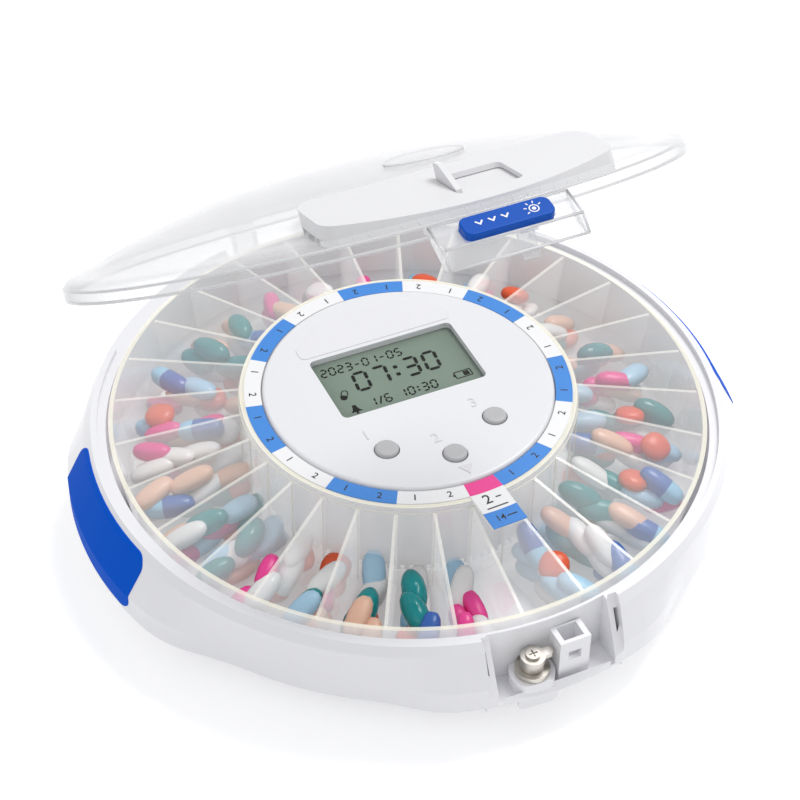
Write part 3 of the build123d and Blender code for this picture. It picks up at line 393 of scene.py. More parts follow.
DOOR_WHITE = MouldedPlastic("door_white", (0.75, 0.75, 0.765), roughness=0.4, coat=0.1)
BRACKET_WHITE = MouldedPlastic("bracket_white", (0.8, 0.8, 0.81), roughness=0.4)
BARE_STEEL = Metal("bare_steel", (0.58, 0.58, 0.58), roughness=0.34)
PIN_STEEL = Metal("pin_steel", (0.6, 0.6, 0.61), roughness=0.24)
STEEL = Metal("zinc_steel", (0.6, 0.6, 0.6))
BOARD_GREEN = MouldedPlastic("board_green", (0.02, 0.2, 0.07), roughness=0.35)
BLACK = MouldedPlastic("black_moulding", (0.02, 0.02, 0.022), roughness=0.45)
ACETAL = MouldedPlastic("acetal", (0.72, 0.71, 0.66), roughness=0.35)
RUBBER = MouldedPlastic("foot_rubber", (0.05, 0.05, 0.052), roughness=0.7, coat=0.0, grain=0.15)
JACKET = MouldedPlastic("cell_jacket", (0.05, 0.06, 0.08), roughness=0.25)
INK_BLACK = Ink("ink_black", (0.012, 0.012, 0.014))
INK_BLUE = Ink("ink_blue", (0.03, 0.20, 0.67))
INK_WHITE = Ink("ink_white", (0.86, 0.86, 0.87))
SEGMENT = Ink("lcd_segment", (0.004, 0.005, 0.004), roughness=0.7, shine=0.0)

# ------------------------------------------------------------------ meshes
def mesh_piece(name: str, points: np.ndarray, faces: Sequence[Sequence[int]], body: str,
               material: bpy.types.Material, smooth: bool = True) -> bpy.types.Object:
    """Makes one mesh object from points and faces and lets it ride on a body.

    Args:
        name: the piece's name.
        points: n x 3 array of places in the frame.
        faces: corner numbers of each face.
        body: the CAD body that it rides on.
        material: its finish.
        smooth: whether its faces are shaded smooth.

    Returns:
        The new object.
    """
    mesh = bpy.data.meshes.new(name)
    mesh.from_pydata(np.asarray(points, float).tolist(), [], [list(map(int, f)) for f in faces])
    mesh.update()
    mesh.polygons.foreach_set("use_smooth", np.full(len(mesh.polygons), smooth))
    mesh.materials.append(material)
    piece = bpy.data.objects.new(name, mesh)
    bpy.context.scene.collection.objects.link(piece)
    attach(piece, body)
    return piece


def grid_faces(rows: int, columns: int, wrap_rows: bool = False, wrap_columns: bool = False) -> np.ndarray:
    """Corner numbers of the quads of a grid: quad (i, j) joins i, i + 1 and j, j + 1.

    Args:
        rows: points along the first parameter.
        columns: points along the second parameter.
        wrap_rows: whether the last row joins the first.
        wrap_columns: whether the last column joins the first.

    Returns:
        An array of four corner numbers per face.
    """
    i = np.arange(rows if wrap_rows else rows - 1)
    j = np.arange(columns if wrap_columns else columns - 1)
    first, second = np.meshgrid(i, j, indexing="ij")
    next_row, next_column = (first + 1) % rows, (second + 1) % columns
    corners = (first * columns + second, next_row * columns + second,
               next_row * columns + next_column, first * columns + next_column)
    return np.stack(corners, axis=-1).reshape(-1, 4)


def turn_about_x(points: np.ndarray, pivot: Sequence[float], angle: float) -> np.ndarray:
    """Turns points about an X-axis line: y and z are mixed by the sine and cosine of the angle."""
    rel = points - np.asarray(pivot)
    out = rel.copy()
    out[..., 1] = rel[..., 1] * math.cos(angle) - rel[..., 2] * math.sin(angle)
    out[..., 2] = rel[..., 1] * math.sin(angle) + rel[..., 2] * math.cos(angle)
    return out + np.asarray(pivot)


def flat_text(words: str, size: float, thickness: float = 0.00003,
              bolder: float = 0.0) -> tuple[np.ndarray, list[list[int]]]:
    """The mesh of some characters, centred, lying in the XY plane.

    Args:
        words: the characters.
        size: their body height in metres.
        thickness: how thick the ink is.
        bolder: how far the strokes are widened to either side.

    Returns:
        The points and the faces.
    """
    curve = bpy.data.curves.new("characters", "FONT")
    curve.body = words
    curve.size = size
    curve.extrude = thickness / 2
    curve.offset = bolder
    curve.resolution_u = 3
    curve.align_x = "CENTER"
    curve.align_y = "CENTER"
    holder = bpy.data.objects.new("characters", curve)
    mesh = bpy.data.meshes.new_from_object(holder)
    points = np.zeros(len(mesh.vertices) * 3)
    mesh.vertices.foreach_get("co", points)
    faces = [list(p.vertices) for p in mesh.polygons]
    for block in (holder, curve):
        (bpy.data.objects if block is holder else bpy.data.curves).remove(block)
    bpy.data.meshes.remove(mesh)
    return points.reshape(-1, 3), faces


class Joiner:
    """Collects meshes that become one piece."""

    def __init__(self) -> None:
        """Starts empty."""
        self.points: list[np.ndarray] = []
        self.faces: list[list[int]] = []
        self.count = 0

    def add(self, points: np.ndarray, faces: Iterable[Sequence[int]]) -> None:
        """Adds one mesh's points and faces."""
        self.points.append(np.asarray(points, float).reshape(-1, 3))
        self.faces += [[int(c) + self.count for c in face] for face in faces]
        self.count += len(self.points[-1])

    def build(self, name: str, body: str, material: bpy.types.Material, smooth: bool = False) -> bpy.types.Object:
        """Makes the joined piece."""
        return mesh_piece(name, np.concatenate(self.points), self.faces, body, material, smooth)


def slab(outline: np.ndarray, low: float, high: float) -> tuple[np.ndarray, list[list[int]]]:
    """A flat plate: an outline of x, y points, counter-clockwise, carried from one height to another."""
    n = len(outline)
    bottom = np.column_stack([outline, np.full(n, low)])
    top = np.column_stack([outline, np.full(n, high)])
    around = grid_faces(2, n, wrap_columns=True)[:, ::-1]
    faces = [list(range(n))[::-1], [n + k for k in range(n)], *around.tolist()]
    return np.concatenate([bottom, top]), faces


def tube(path: np.ndarray, radius: float, side: Sequence[float], closed: bool = False,
         sides: int = 8) -> tuple[np.ndarray, list[list[int]]]:
    """A round bead carried along a flat path.

    Each ring is path + radius * (cos a * N + sin a * B), with B the path's plane normal and N = B x T.

    Args:
        path: n x 3 array of the bead's middle line, lying in one plane.
        radius: the bead's radius.
        side: B, the normal of that plane.
        closed: whether the last point joins the first.
        sides: how many flats the bead has round it.

    Returns:
        The points and the faces, with flat ends if the path is open.
    """
    ahead = np.roll(path, -1, axis=0) - np.roll(path, 1, axis=0)
    if not closed:
        ahead[0], ahead[-1] = path[1] - path[0], path[-1] - path[-2]
    ahead /= np.linalg.norm(ahead, axis=1, keepdims=True)
    across = np.asarray(side, float) / np.linalg.norm(side)
    outward = np.cross(across, ahead)
    turns = np.linspace(0, FULL_TURN, sides, endpoint=False)
    ring = np.cos(turns)[None, :, None] * outward[:, None, :] + np.sin(turns)[None, :, None] * across
    points = (path[:, None, :] + radius * ring).reshape(-1, 3)
    n = len(path)
    faces = grid_faces(n, sides, wrap_rows=closed, wrap_columns=True).tolist()
    if not closed:
        faces += [list(range(sides)), [(n - 1) * sides + k for k in range(sides)][::-1]]
    return points, faces


def rounded_outline(length: float, width: float, corner: float, steps: int = 6) -> np.ndarray:
    """A rectangle with rounded corners: four quarter circles joined by straight runs."""
    turns = np.linspace(0, math.pi / 2, steps)
    arc = corner * np.column_stack([np.cos(turns), np.sin(turns)])
    half = np.array([length / 2 - corner, width / 2 - corner])
    parts = []
    for quarter, sign in enumerate(((1, 1), (-1, 1), (-1, -1), (1, -1))):
        c, s = math.cos(quarter * math.pi / 2), math.sin(quarter * math.pi / 2)
        parts.append(arc @ np.array([[c, s], [-s, c]]) + half * np.array(sign))
    return np.concatenate(parts)


@dataclass
class SubAssembly:
    """A group of CAD nodes that belong together: gives them their finishes and adds its own pieces."""

    nodes: dict[str, bpy.types.Object]

    def finishes(self) -> dict[Any, tuple[str, ...]]:
        """The finish of each of the group's nodes."""
        return {}

    def coat(self, material: bpy.types.Material, *names: str) -> None:
        """Puts one material on some CAD nodes."""
        for name in names:
            slots = self.nodes[name].data.materials
            slots.clear()
            slots.append(material)

    def dress(self) -> None:
        """Puts every finish on its nodes."""
        for finish, names in self.finishes().items():
            self.coat(finish.build(), *names)
            log.info("%s on %s", finish.name, ", ".join(names))

    def build(self) -> None:
        """Dresses the nodes and adds the group's own pieces."""
        self.dress()


# ------------------------------------------------------------------ dose ring
@dataclass
class DoseRing(SubAssembly):
    """The printed ring on the tray: its colours, its numbers and its tab over the home cell."""

    cells: int = 29
    home_bearing: float = 2.2
    inner: float = 48.6 * MM
    outer: float = 54.0 * MM
    tab_strip: float = 62.6 * MM
    number_size: float = 3.5 * MM
    bolder: float = 0.05 * MM
    blue: Colour = (0.045, 0.245, 0.70)
    pink: Colour = (0.84, 0.045, 0.29)
    white: Colour = (0.86, 0.86, 0.87)

    def top(self) -> float:
        """Height of the printed face."""
        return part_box("dose_label_ring")[1].z

    def print_material(self) -> bpy.types.Material:
        """Colours the ring by bearing: cell number = bearing / cell angle, home is pink, pairs alternate.

        Returns:
            The printed film's material.
        """
        shader = Shader("dose_ring_print")
        x, y, _ = shader.axes()
        step = FULL_TURN / self.cells
        bearing = x.maths("ARCTAN2", y * -1.0)
        count = ((bearing - math.radians(self.home_bearing)) / step + (self.cells + 0.5)).maths("MODULO", self.cells)
        number = count.floor()
        radius = (x * x + y * y).maths("SQRT")
        is_home = number < 0.5
        pair = ((number - 1.0) * 0.5).floor() * 0.5
        is_blue = (pair.fraction() < 0.25) * (1.0 - is_home)
        on_ring = radius < (self.outer + 0.05 * MM)
        strip = radius > self.tab_strip
        colour = shader.mix(is_blue * on_ring, self.white, self.blue)
        colour = shader.mix(is_home * on_ring, colour, self.pink)
        colour = shader.mix(strip, colour, self.blue)
        shader.set(Base_Color=colour, Roughness=0.34, Coat_Weight=0.2)
        return shader.material

    def place(self, points: np.ndarray, radius: float, bearing: float, flip: bool) -> np.ndarray:
        """Turns flat points so that their tops point to the centre, or away, and moves them out.

        Args:
            points: n x 3 array centred on the origin.
            radius: how far out they go.
            bearing: degrees from the front towards +X.
            flip: whether their tops point to the centre.

        Returns:
            The placed points.
        """
        turn = math.radians(bearing) + (0.0 if flip else math.pi)
        c, s = math.cos(turn), math.sin(turn)
        out = points @ np.array([[c, s, 0], [-s, c, 0], [0, 0, 1]])
        angle = math.radians(bearing)
        return out + np.array([radius * math.sin(angle), -radius * math.cos(angle), self.top()])

    def build(self) -> None:
        """Dresses the ring and adds its numbers and the tab's marks."""
        self.coat(self.print_material(), "dose_label_ring")
        ink = INK_BLACK.build()
        numbers = Joiner()
        middle = (self.inner + self.outer) / 2
        for k in range(1, self.cells):
            digit = "1" if k % 2 else "2"
            points, faces = flat_text(digit, self.number_size, bolder=self.bolder)
            bearing = self.home_bearing + k * 360 / self.cells
            numbers.add(self.place(points, middle, bearing, True), faces)
        for words, radius, shift, size in (("2", 57.3, -1.6, 5.6), ("14", 66.0, -1.6, 3.4)):
            points, faces = flat_text(words, size * MM, bolder=self.bolder)
            points = points + np.array([shift * MM, 0, 0])
            numbers.add(self.place(points, radius * MM, self.home_bearing, True), faces)
        for radius, shift, length, width in ((57.3, 2.2, 2.0, 0.5), (61.1, 0.0, 7.4, 0.5), (66.0, 2.4, 3.6, 0.5)):
            points, faces = slab(rounded_outline(length * MM, width * MM, 0.2 * MM, 3), 0.0, 0.03 * MM)
            points = points + np.array([shift * MM, 0, 0])
            numbers.add(self.place(points, radius * MM, self.home_bearing, True), faces)
        numbers.build("dose_numbers", "tray", ink)
        log.info("dose ring dressed with %d numbers", self.cells - 1)


# ------------------------------------------------------------------ display
class Stroke(Enum):
    """The seven strokes of a display digit, each with its centre and whether it lies flat, in digit units."""

    TOP = (0.0, 1.0, True)
    MIDDLE = (0.0, 0.0, True)
    BOTTOM = (0.0, -1.0, True)
    UPPER_LEFT = (-0.5, 0.5, False)
    UPPER_RIGHT = (0.5, 0.5, False)
    LOWER_LEFT = (-0.5, -0.5, False)
    LOWER_RIGHT = (0.5, -0.5, False)


LIT: dict[str, str] = {
    "0": "TOP BOTTOM UPPER_LEFT UPPER_RIGHT LOWER_LEFT LOWER_RIGHT",
    "1": "UPPER_RIGHT LOWER_RIGHT",
    "2": "TOP MIDDLE BOTTOM UPPER_RIGHT LOWER_LEFT",
    "3": "TOP MIDDLE BOTTOM UPPER_RIGHT LOWER_RIGHT",
    "4": "MIDDLE UPPER_LEFT UPPER_RIGHT LOWER_RIGHT",
    "5": "TOP MIDDLE BOTTOM UPPER_LEFT LOWER_RIGHT",
    "6": "TOP MIDDLE BOTTOM UPPER_LEFT LOWER_LEFT LOWER_RIGHT",
    "7": "TOP UPPER_RIGHT LOWER_RIGHT",
    "8": "TOP MIDDLE BOTTOM UPPER_LEFT UPPER_RIGHT LOWER_LEFT LOWER_RIGHT",
    "9": "TOP MIDDLE BOTTOM UPPER_LEFT UPPER_RIGHT LOWER_RIGHT",
    "-": "MIDDLE",
}


@dataclass
class Display(SubAssembly):
    """The liquid crystal panel's face: rows of seven-stroke digits, a clock and small signs."""

    centre_x: float = 0.0
    centre_y: float = 8.4 * MM
    slant: float = 0.1
    thickness: float = 0.04 * MM

    def stroke(self, centre: tuple[float, float], flat: bool, length: float, width: float) -> np.ndarray:
        """A six-cornered bar: a rectangle with pointed ends, along x if flat, else along y."""
        a, b = length / 2, width / 2
        bar = np.array([[-a, 0], [-a + b, -b], [a - b, -b], [a, 0], [a - b, b], [-a + b, b]])
        if not flat:
            bar = bar[:, ::-1] * np.array([-1, 1])
        return bar + np.array(centre)

    def digit(self, figure: str, x: float, y: float, height: float, stroke: float) -> list[np.ndarray]:
        """The bars of one digit, leaning right: x grows by slant times y.

        Args:
            figure: the digit or a dash.
            x: the digit's centre from the display's centre.
            y: the same upwards.
            height: the digit's height.
            stroke: the bars' width.

        Returns:
            One outline per lit bar.
        """
        half = height / 2
        wide = height * 0.54
        bars = []
        for name in LIT[figure].split():
            cx, cy, flat = Stroke[name].value
            length = (wide if flat else half) - stroke * 0.35
            bar = self.stroke((cx * wide, cy * half), flat, length, stroke)
            bar[:, 0] += bar[:, 1] * self.slant
            bars.append(bar + np.array([x, y]))
        return bars

    def row(self, figures: str, x: float, y: float, height: float, stroke: float, pitch: float) -> list[np.ndarray]:
        """A row of digits, starting at x, with dots for a colon and a slope for a slash."""
        outlines = []
        for figure in figures:
            if figure in LIT:
                outlines += self.digit(figure, x, y, height, stroke)
                x += pitch
            elif figure == ":":
                for dy in (-0.22, 0.22):
                    square = rounded_outline(stroke * 1.25, stroke * 1.25, stroke * 0.2, 2)
                    outlines.append(square + np.array([x - pitch * 0.2 + dy * height * self.slant, y + dy * height]))
                x += pitch * 0.56
            elif figure == "/":
                bar = self.stroke((0, 0), False, height * 1.02, stroke)
                bar[:, 0] += bar[:, 1] * 0.45
                outlines.append(bar + np.array([x - pitch * 0.05, y]))
                x += pitch * 0.8
            else:
                x += pitch * 0.7
        return outlines

    def battery_sign(self, x: float, y: float) -> list[np.ndarray]:
        """A battery: a frame of four bars, a nose and one filled third."""
        long, tall, line = 5.8 * MM, 3.0 * MM, 0.4 * MM
        bars = []
        for dx, dy, a, b in ((0, tall / 2, long, line), (0, -tall / 2, long, line),
                             (-long / 2, 0, line, tall), (long / 2, 0, line, tall),
                             (-long / 2 - 0.45 * MM, 0, 0.5 * MM, 1.2 * MM), (1.1 * MM, 0, 2.1 * MM, tall * 0.7)):
            bars.append(rounded_outline(a, b, 0.05 * MM, 2) + np.array([x + dx, y + dy]))
        return bars

    def bell_sign(self, x: float, y: float) -> list[np.ndarray]:
        """A bell: half width grows from the crown to the lip as 0.45 + 0.55 times depth squared."""
        depth = np.linspace(0, 1, 9)
        half = 1.5 * MM * (0.45 + 0.55 * depth ** 2)
        level = 1.4 * MM * (1 - 2 * depth)
        body = np.concatenate([np.column_stack([-half, level]), np.column_stack([half, level])[::-1]])
        lip = rounded_outline(3.9 * MM, 0.5 * MM, 0.2 * MM, 3) + np.array([0, -1.6 * MM])
        turns = np.linspace(0, FULL_TURN, 12, endpoint=False)
        clapper = 0.5 * MM * np.column_stack([np.cos(turns), np.sin(turns)]) + np.array([0, -2.35 * MM])
        return [part + np.array([x, y]) for part in (body, lip, clapper)]

    def capsule_sign(self, x: float, y: float) -> list[np.ndarray]:
        """A capsule standing at 62 degrees: one filled half and a hollow half drawn with its wall."""
        angle = math.radians(62)
        c, s = math.cos(angle), math.sin(angle)
        spin = np.array([[c, s], [-s, c]])
        turns = np.linspace(-math.pi / 2, math.pi / 2, 10)
        radius, reach, line = 1.2 * MM, 1.2 * MM, 0.36 * MM
        cap = radius * np.column_stack([np.cos(turns), np.sin(turns)]) + np.array([reach, 0])
        filled = np.concatenate([cap, [[0.1 * MM, radius]], [[0.1 * MM, -radius]]]) * np.array([-1, 1])
        inner = (radius - line) * np.column_stack([np.cos(turns), np.sin(turns)]) + np.array([reach, 0])
        start = np.array([[0.1 * MM, -radius]])
        end = np.array([[0.1 * MM, radius]])
        back = np.array([[0.1 * MM, radius - line], [0.1 * MM, line - radius]])
        hollow = np.concatenate([start, cap, end, back[:1], inner[::-1], back[1:]])
        return [part @ spin + np.array([x, y]) for part in (filled[::-1], hollow)]

    def face_material(self) -> bpy.types.Material:
        """Grey-green reflective panel, with a painted shadow that darkens it towards its edge."""
        shader = Shader("lcd_face")
        x, y, _ = shader.axes()
        across = (x - self.centre_x) / (25.9 * MM)
        along = (y - self.centre_y) / (14.8 * MM)
        # painted shadow: darker towards the panel's edge
        edge = across.maths("POWER", 8.0) + along.maths("POWER", 8.0)
        speck = shader.noise(900.0, 2.0)
        base = shader.mix(speck, (0.19, 0.25, 0.20), (0.21, 0.27, 0.22))
        colour = shader.mix(edge * 0.55, base, (0.10, 0.13, 0.11))
        shader.set(Base_Color=colour, Roughness=0.42, Specular_IOR_Level=0.15)
        return shader.material

    def build(self) -> None:
        """Adds the face's signs and dresses the panel."""
        self.coat(self.face_material(), "lcd_panel")
        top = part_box("lcd_panel")[1].z
        outlines = self.row("2023-01-05", -22.4 * MM, 9.9 * MM, 3.5 * MM, 0.62 * MM, 3.0 * MM)
        outlines += self.row("07:30", -12.3 * MM, 1.7 * MM, 8.2 * MM, 1.2 * MM, 7.1 * MM)
        outlines += self.row("1/6", -13.2 * MM, -9.2 * MM, 3.6 * MM, 0.62 * MM, 3.1 * MM)
        outlines += self.row("10:30", -2.4 * MM, -9.2 * MM, 3.6 * MM, 0.62 * MM, 3.2 * MM)
        outlines += self.battery_sign(20.0 * MM, -8.6 * MM)
        outlines += self.bell_sign(-19.6 * MM, -9.4 * MM)
        outlines += self.capsule_sign(-20.4 * MM, -2.4 * MM)
        signs = Joiner()
        for outline in outlines:
            shifted = outline + np.array([self.centre_x, self.centre_y])
            signs.add(*slab(shifted, top, top + self.thickness))
        signs.build("display_signs", "base", SEGMENT.build())
        log.info("display drawn with %d strokes", len(outlines))


# ------------------------------------------------------------------ contents
@dataclass(frozen=True)
class Dose:
    """One kind of tablet or capsule: its half sizes, how boxy it is and its two colours."""

    name: str
    length: float
    width: float
    height: float
    power: float
    colour: Colour
    second: Colour | None = None
    clear: bool = False
    share: float = 1.0

    def material(self) -> bpy.types.Material:
        """Powdery, glossy or clear finish; a capsule changes colour at its middle."""
        shader = Shader(f"dose_{self.name}")
        grain = shader.noise(700.0, 2.0)
        near = tuple(0.94 * c for c in self.colour)
        colour = shader.mix(grain, near, self.colour)
        if self.second:
            side = shader.node("ShaderNodeAttribute", {"attribute_name": "half"}, {}, "Fac")
            colour = shader.mix(side > 0.5, colour, self.second)
        shader.set(Base_Color=colour, Roughness=grain * 0.1 + (0.12 if self.clear else 0.3))
        if self.clear:
            shader.set(Transmission_Weight=0.35, IOR=1.4)
        shader.set(Normal=shader.bump(grain, 0.05, 0.0003), Coat_Weight=0.35 if self.second else 0.1)
        return shader.material


DOSES: tuple[Dose, ...] = (
    Dose("white_oblong", 8.2 * MM, 3.7 * MM, 2.8 * MM, 2.4, (0.88, 0.87, 0.86), share=1.5),
    Dose("white_round", 4.8 * MM, 4.8 * MM, 2.3 * MM, 2.6, (0.88, 0.88, 0.87), share=0.7),
    Dose("teal_softgel", 7.9 * MM, 4.0 * MM, 3.9 * MM, 2.1, (0.0, 0.36, 0.37), clear=True, share=1.4),
    Dose("blue_capsule", 8.4 * MM, 3.4 * MM, 3.4 * MM, 2.8, (0.015, 0.11, 0.44), (0.30, 0.62, 0.84), share=0.9),
    Dose("pink_capsule", 6.9 * MM, 3.1 * MM, 3.1 * MM, 2.6, (0.86, 0.045, 0.30), share=1.0),
    Dose("orange_round", 5.1 * MM, 5.1 * MM, 2.7 * MM, 2.4, (0.80, 0.10, 0.025), share=0.9),
    Dose("peach_caplet", 8.0 * MM, 3.6 * MM, 2.8 * MM, 2.5, (0.86, 0.52, 0.37), share=1.3),
    Dose("pale_blue_oblong", 7.6 * MM, 3.9 * MM, 2.9 * MM, 2.4, (0.42, 0.66, 0.84), share=0.9),
)


@dataclass
class Contents:
    """Tablets and capsules lying in the cells, outermost first, sunk to a resting pile."""

    cells: int = 29
    home_bearing: float = 2.2
    floor: float = 13.1 * MM
    per_cell: int = 9
    near: float = 63.0 * MM
    far: float = 90.5 * MM
    seed: int = 11
    rings: int = 9
    spokes: int = 16
    made: dict[str, Joiner] = field(default_factory=dict)
    halves: dict[str, list[np.ndarray]] = field(default_factory=dict)

    def shape(self, dose: Dose) -> tuple[np.ndarray, np.ndarray, np.ndarray]:
        """A closed superellipsoid: each axis is the signed power 2/n of a cosine or sine of two angles.

        Args:
            dose: the kind of tablet.

        Returns:
            The points, the faces and, for each point, which half it lies in.
        """
        u = np.linspace(-math.pi / 2, math.pi / 2, self.rings)
        v = np.linspace(0, FULL_TURN, self.spokes, endpoint=False)
        lat, lon = np.meshgrid(u, v, indexing="ij")

        def signed(values: np.ndarray) -> np.ndarray:
            """The value's size raised to 2/n, with its sign kept."""
            return np.sign(values) * np.abs(values) ** (2 / dose.power)

        x = dose.length * signed(np.sin(lat))
        y = dose.width * signed(np.cos(lat)) * signed(np.cos(lon))
        z = dose.height * signed(np.cos(lat)) * signed(np.sin(lon))
        points = np.stack([x, y, z], axis=-1).reshape(-1, 3)
        return points, grid_faces(self.rings, self.spokes, wrap_columns=True)[:, ::-1], points[:, 0] > 0

    def scatter(self, rng: np.random.Generator) -> None:
        """Fills every cell but the home cell: each piece takes a free place, first low, then on the pile."""
        weights = np.array([d.share for d in DOSES])
        weights = weights / weights.sum()
        step = FULL_TURN / self.cells
        for cell in range(1, self.cells):
            bearing = math.radians(self.home_bearing) + cell * step
            taken: list[tuple[float, float, float]] = []
            for _ in range(self.per_cell):
                dose = DOSES[rng.choice(len(DOSES), p=weights)]
                self.drop(dose, bearing, step, taken, rng)

    def drop(self, dose: Dose, bearing: float, step: float, taken: list[tuple[float, float, float]],
             rng: np.random.Generator) -> None:
        """Places one tablet: of 14 tries the lowest wins, and it is tipped and turned at random.

        Args:
            dose: the kind.
            bearing: the cell's middle, in radians from the front.
            step: the angle of a cell.
            taken: places already used, as radial, sideways and height.
            rng: the random numbers.
        """
        best: tuple[float, float, float, float] | None = None
        for _ in range(14):
            radial = self.far - dose.width - (self.far - self.near) * rng.random() ** 1.6
            yaw = rng.uniform(-1.0, 1.0) * (0.5 if dose.length > dose.width * 1.3 else 1.5)
            half = radial * math.tan(step / 2) - 0.9 * MM
            across = abs(math.sin(yaw)) * dose.length + abs(math.cos(yaw)) * dose.width
            room = max(0.0, half - across)
            side = rng.uniform(-room, room)
            reach = 0.72 * (dose.length + dose.width)
            height = self.floor + dose.height
            for r, s, z in taken:
                gap = math.hypot(r - radial, s - side)
                if gap < reach:
                    height = max(height, z + (5.0 * MM) * math.sqrt(max(0.0, 1 - (gap / reach) ** 2)))
            if best is None or height < best[2]:
                best = (radial, side, height, yaw)
        radial, side, height, yaw = best
        taken.append((radial, side, height))
        tilt = rng.uniform(-0.25, 0.25) + (0.3 if height > self.floor + 5 * MM else 0.0)
        spin = Matrix.Rotation(bearing - math.pi / 2 + yaw, 3, "Z") @ Matrix.Rotation(tilt, 3, "Y")
        points, faces, half = self.shape(dose)
        x = radial * math.sin(bearing) + side * math.cos(bearing)
        y = -radial * math.cos(bearing) + side * math.sin(bearing)
        placed = points @ np.array(spin).T + np.array([x, y, height])
        self.made.setdefault(dose.name, Joiner()).add(placed, faces)
        self.halves.setdefault(dose.name, []).append(half)

    def build(self) -> None:
        """Makes one piece per kind of tablet."""
        self.scatter(np.random.default_rng(self.seed))
        for dose in DOSES:
            if dose.name not in self.made:
                continue
            piece = self.made[dose.name].build(f"doses_{dose.name}", "tray", dose.material(), smooth=True)
            if dose.second:
                side = piece.data.attributes.new("half", "FLOAT", "POINT")
                side.data.foreach_set("value", np.concatenate(self.halves[dose.name]).astype(np.float32))
            log.info("%s: %d pieces", dose.name, len(self.halves[dose.name]))


# ------------------------------------------------------------------ studio
@dataclass
class Studio:
    """Floor, soft lights and the camera at the photograph's viewing angle."""

    eye: tuple[float, float, float] = (-0.2358, -0.4881, 0.5462)
    forward: tuple[float, float, float] = (0.3155, 0.6614, -0.6804)
    roll: float = math.radians(1.09)
    lens: float = 100.7
    sensor: float = 36.0
    floor_colour: Colour = (0.93, 0.93, 0.935)
    floor_lift: float = 0.34
    sky: float = 0.64

    def camera(self) -> None:
        """Aims the camera: its right is forward x up, then both are rolled."""
        forward = Vector(self.forward).normalized()
        right = forward.cross(Vector((0, 0, 1))).normalized()
        up = right.cross(forward)
        c, s = math.cos(self.roll), math.sin(self.roll)
        right, up = right * c + up * s, up * c - right * s
        data = bpy.data.cameras.new("camera")
        data.lens, data.sensor_width, data.sensor_fit = self.lens, self.sensor, "HORIZONTAL"
        data.clip_start, data.clip_end = 0.01, 20.0
        camera = bpy.data.objects.new("camera", data)
        turn = Matrix((right, up, -forward)).transposed().to_4x4()
        camera.matrix_world = Matrix.Translation(self.eye) @ turn
        bpy.context.scene.collection.objects.link(camera)
        bpy.context.scene.camera = camera

    def floor(self) -> None:
        """A wide plane that shows white to the camera and keeps the object's shadow."""
        reach = 6.0
        points = np.array([[-reach, -reach, 0], [reach, -reach, 0], [reach, reach, 0], [-reach, reach, 0]], float)
        mesh = bpy.data.meshes.new("floor")
        mesh.from_pydata((points - np.array([0, 0, 0.02 * MM])).tolist(), [], [[0, 1, 2, 3]])
        shader = Shader("floor_paper")
        glow = shader.mix(shader.seen_share(), (0.0, 0.0, 0.0), (1.0, 1.0, 1.0))
        shader.set(Base_Color=self.floor_colour, Roughness=0.9, Specular_IOR_Level=0.1)
        shader.set(Emission_Color=glow, Emission_Strength=self.floor_lift)
        mesh.materials.append(shader.material)
        plane = bpy.data.objects.new("floor", mesh)
        bpy.context.scene.collection.objects.link(plane)

    def lamp(self, name: str, place: tuple[float, float, float], size: float, power: float) -> None:
        """A square soft box aimed at the object's middle."""
        data = bpy.data.lights.new(name, "AREA")
        data.shape, data.size, data.energy = "SQUARE", size, power
        light = bpy.data.objects.new(name, data)
        aim = Vector((0, 0, 0.04)) - Vector(place)
        light.rotation_euler = aim.to_track_quat("-Z", "Y").to_euler()
        light.location = place
        bpy.context.scene.collection.objects.link(light)

    def lights(self) -> None:
        """An even pale world, one large key at the upper right and a weak fill."""
        world = bpy.data.worlds.new("studio")
        world.use_nodes = True
        graph = Graph(world.node_tree)
        background = world.node_tree.nodes["Background"]
        graph.feed(background.inputs["Color"], (0.985, 0.99, 1.0))
        seen = graph.node("ShaderNodeLightPath", {}, {}, "Is Camera Ray")
        graph.feed(background.inputs["Strength"], seen * (1.0 - self.sky) + self.sky)
        bpy.context.scene.world = world
        self.lamp("key", (0.62, 0.28, 1.3), 0.6, 11.5)
        self.lamp("fill", (-0.9, -0.6, 1.2), 1.0, 2.0)

    def build(self) -> None:
        """Sets up the whole studio."""
        bpy.context.scene.view_settings.view_transform = "Standard"
        self.camera()
        self.floor()
        self.lights()


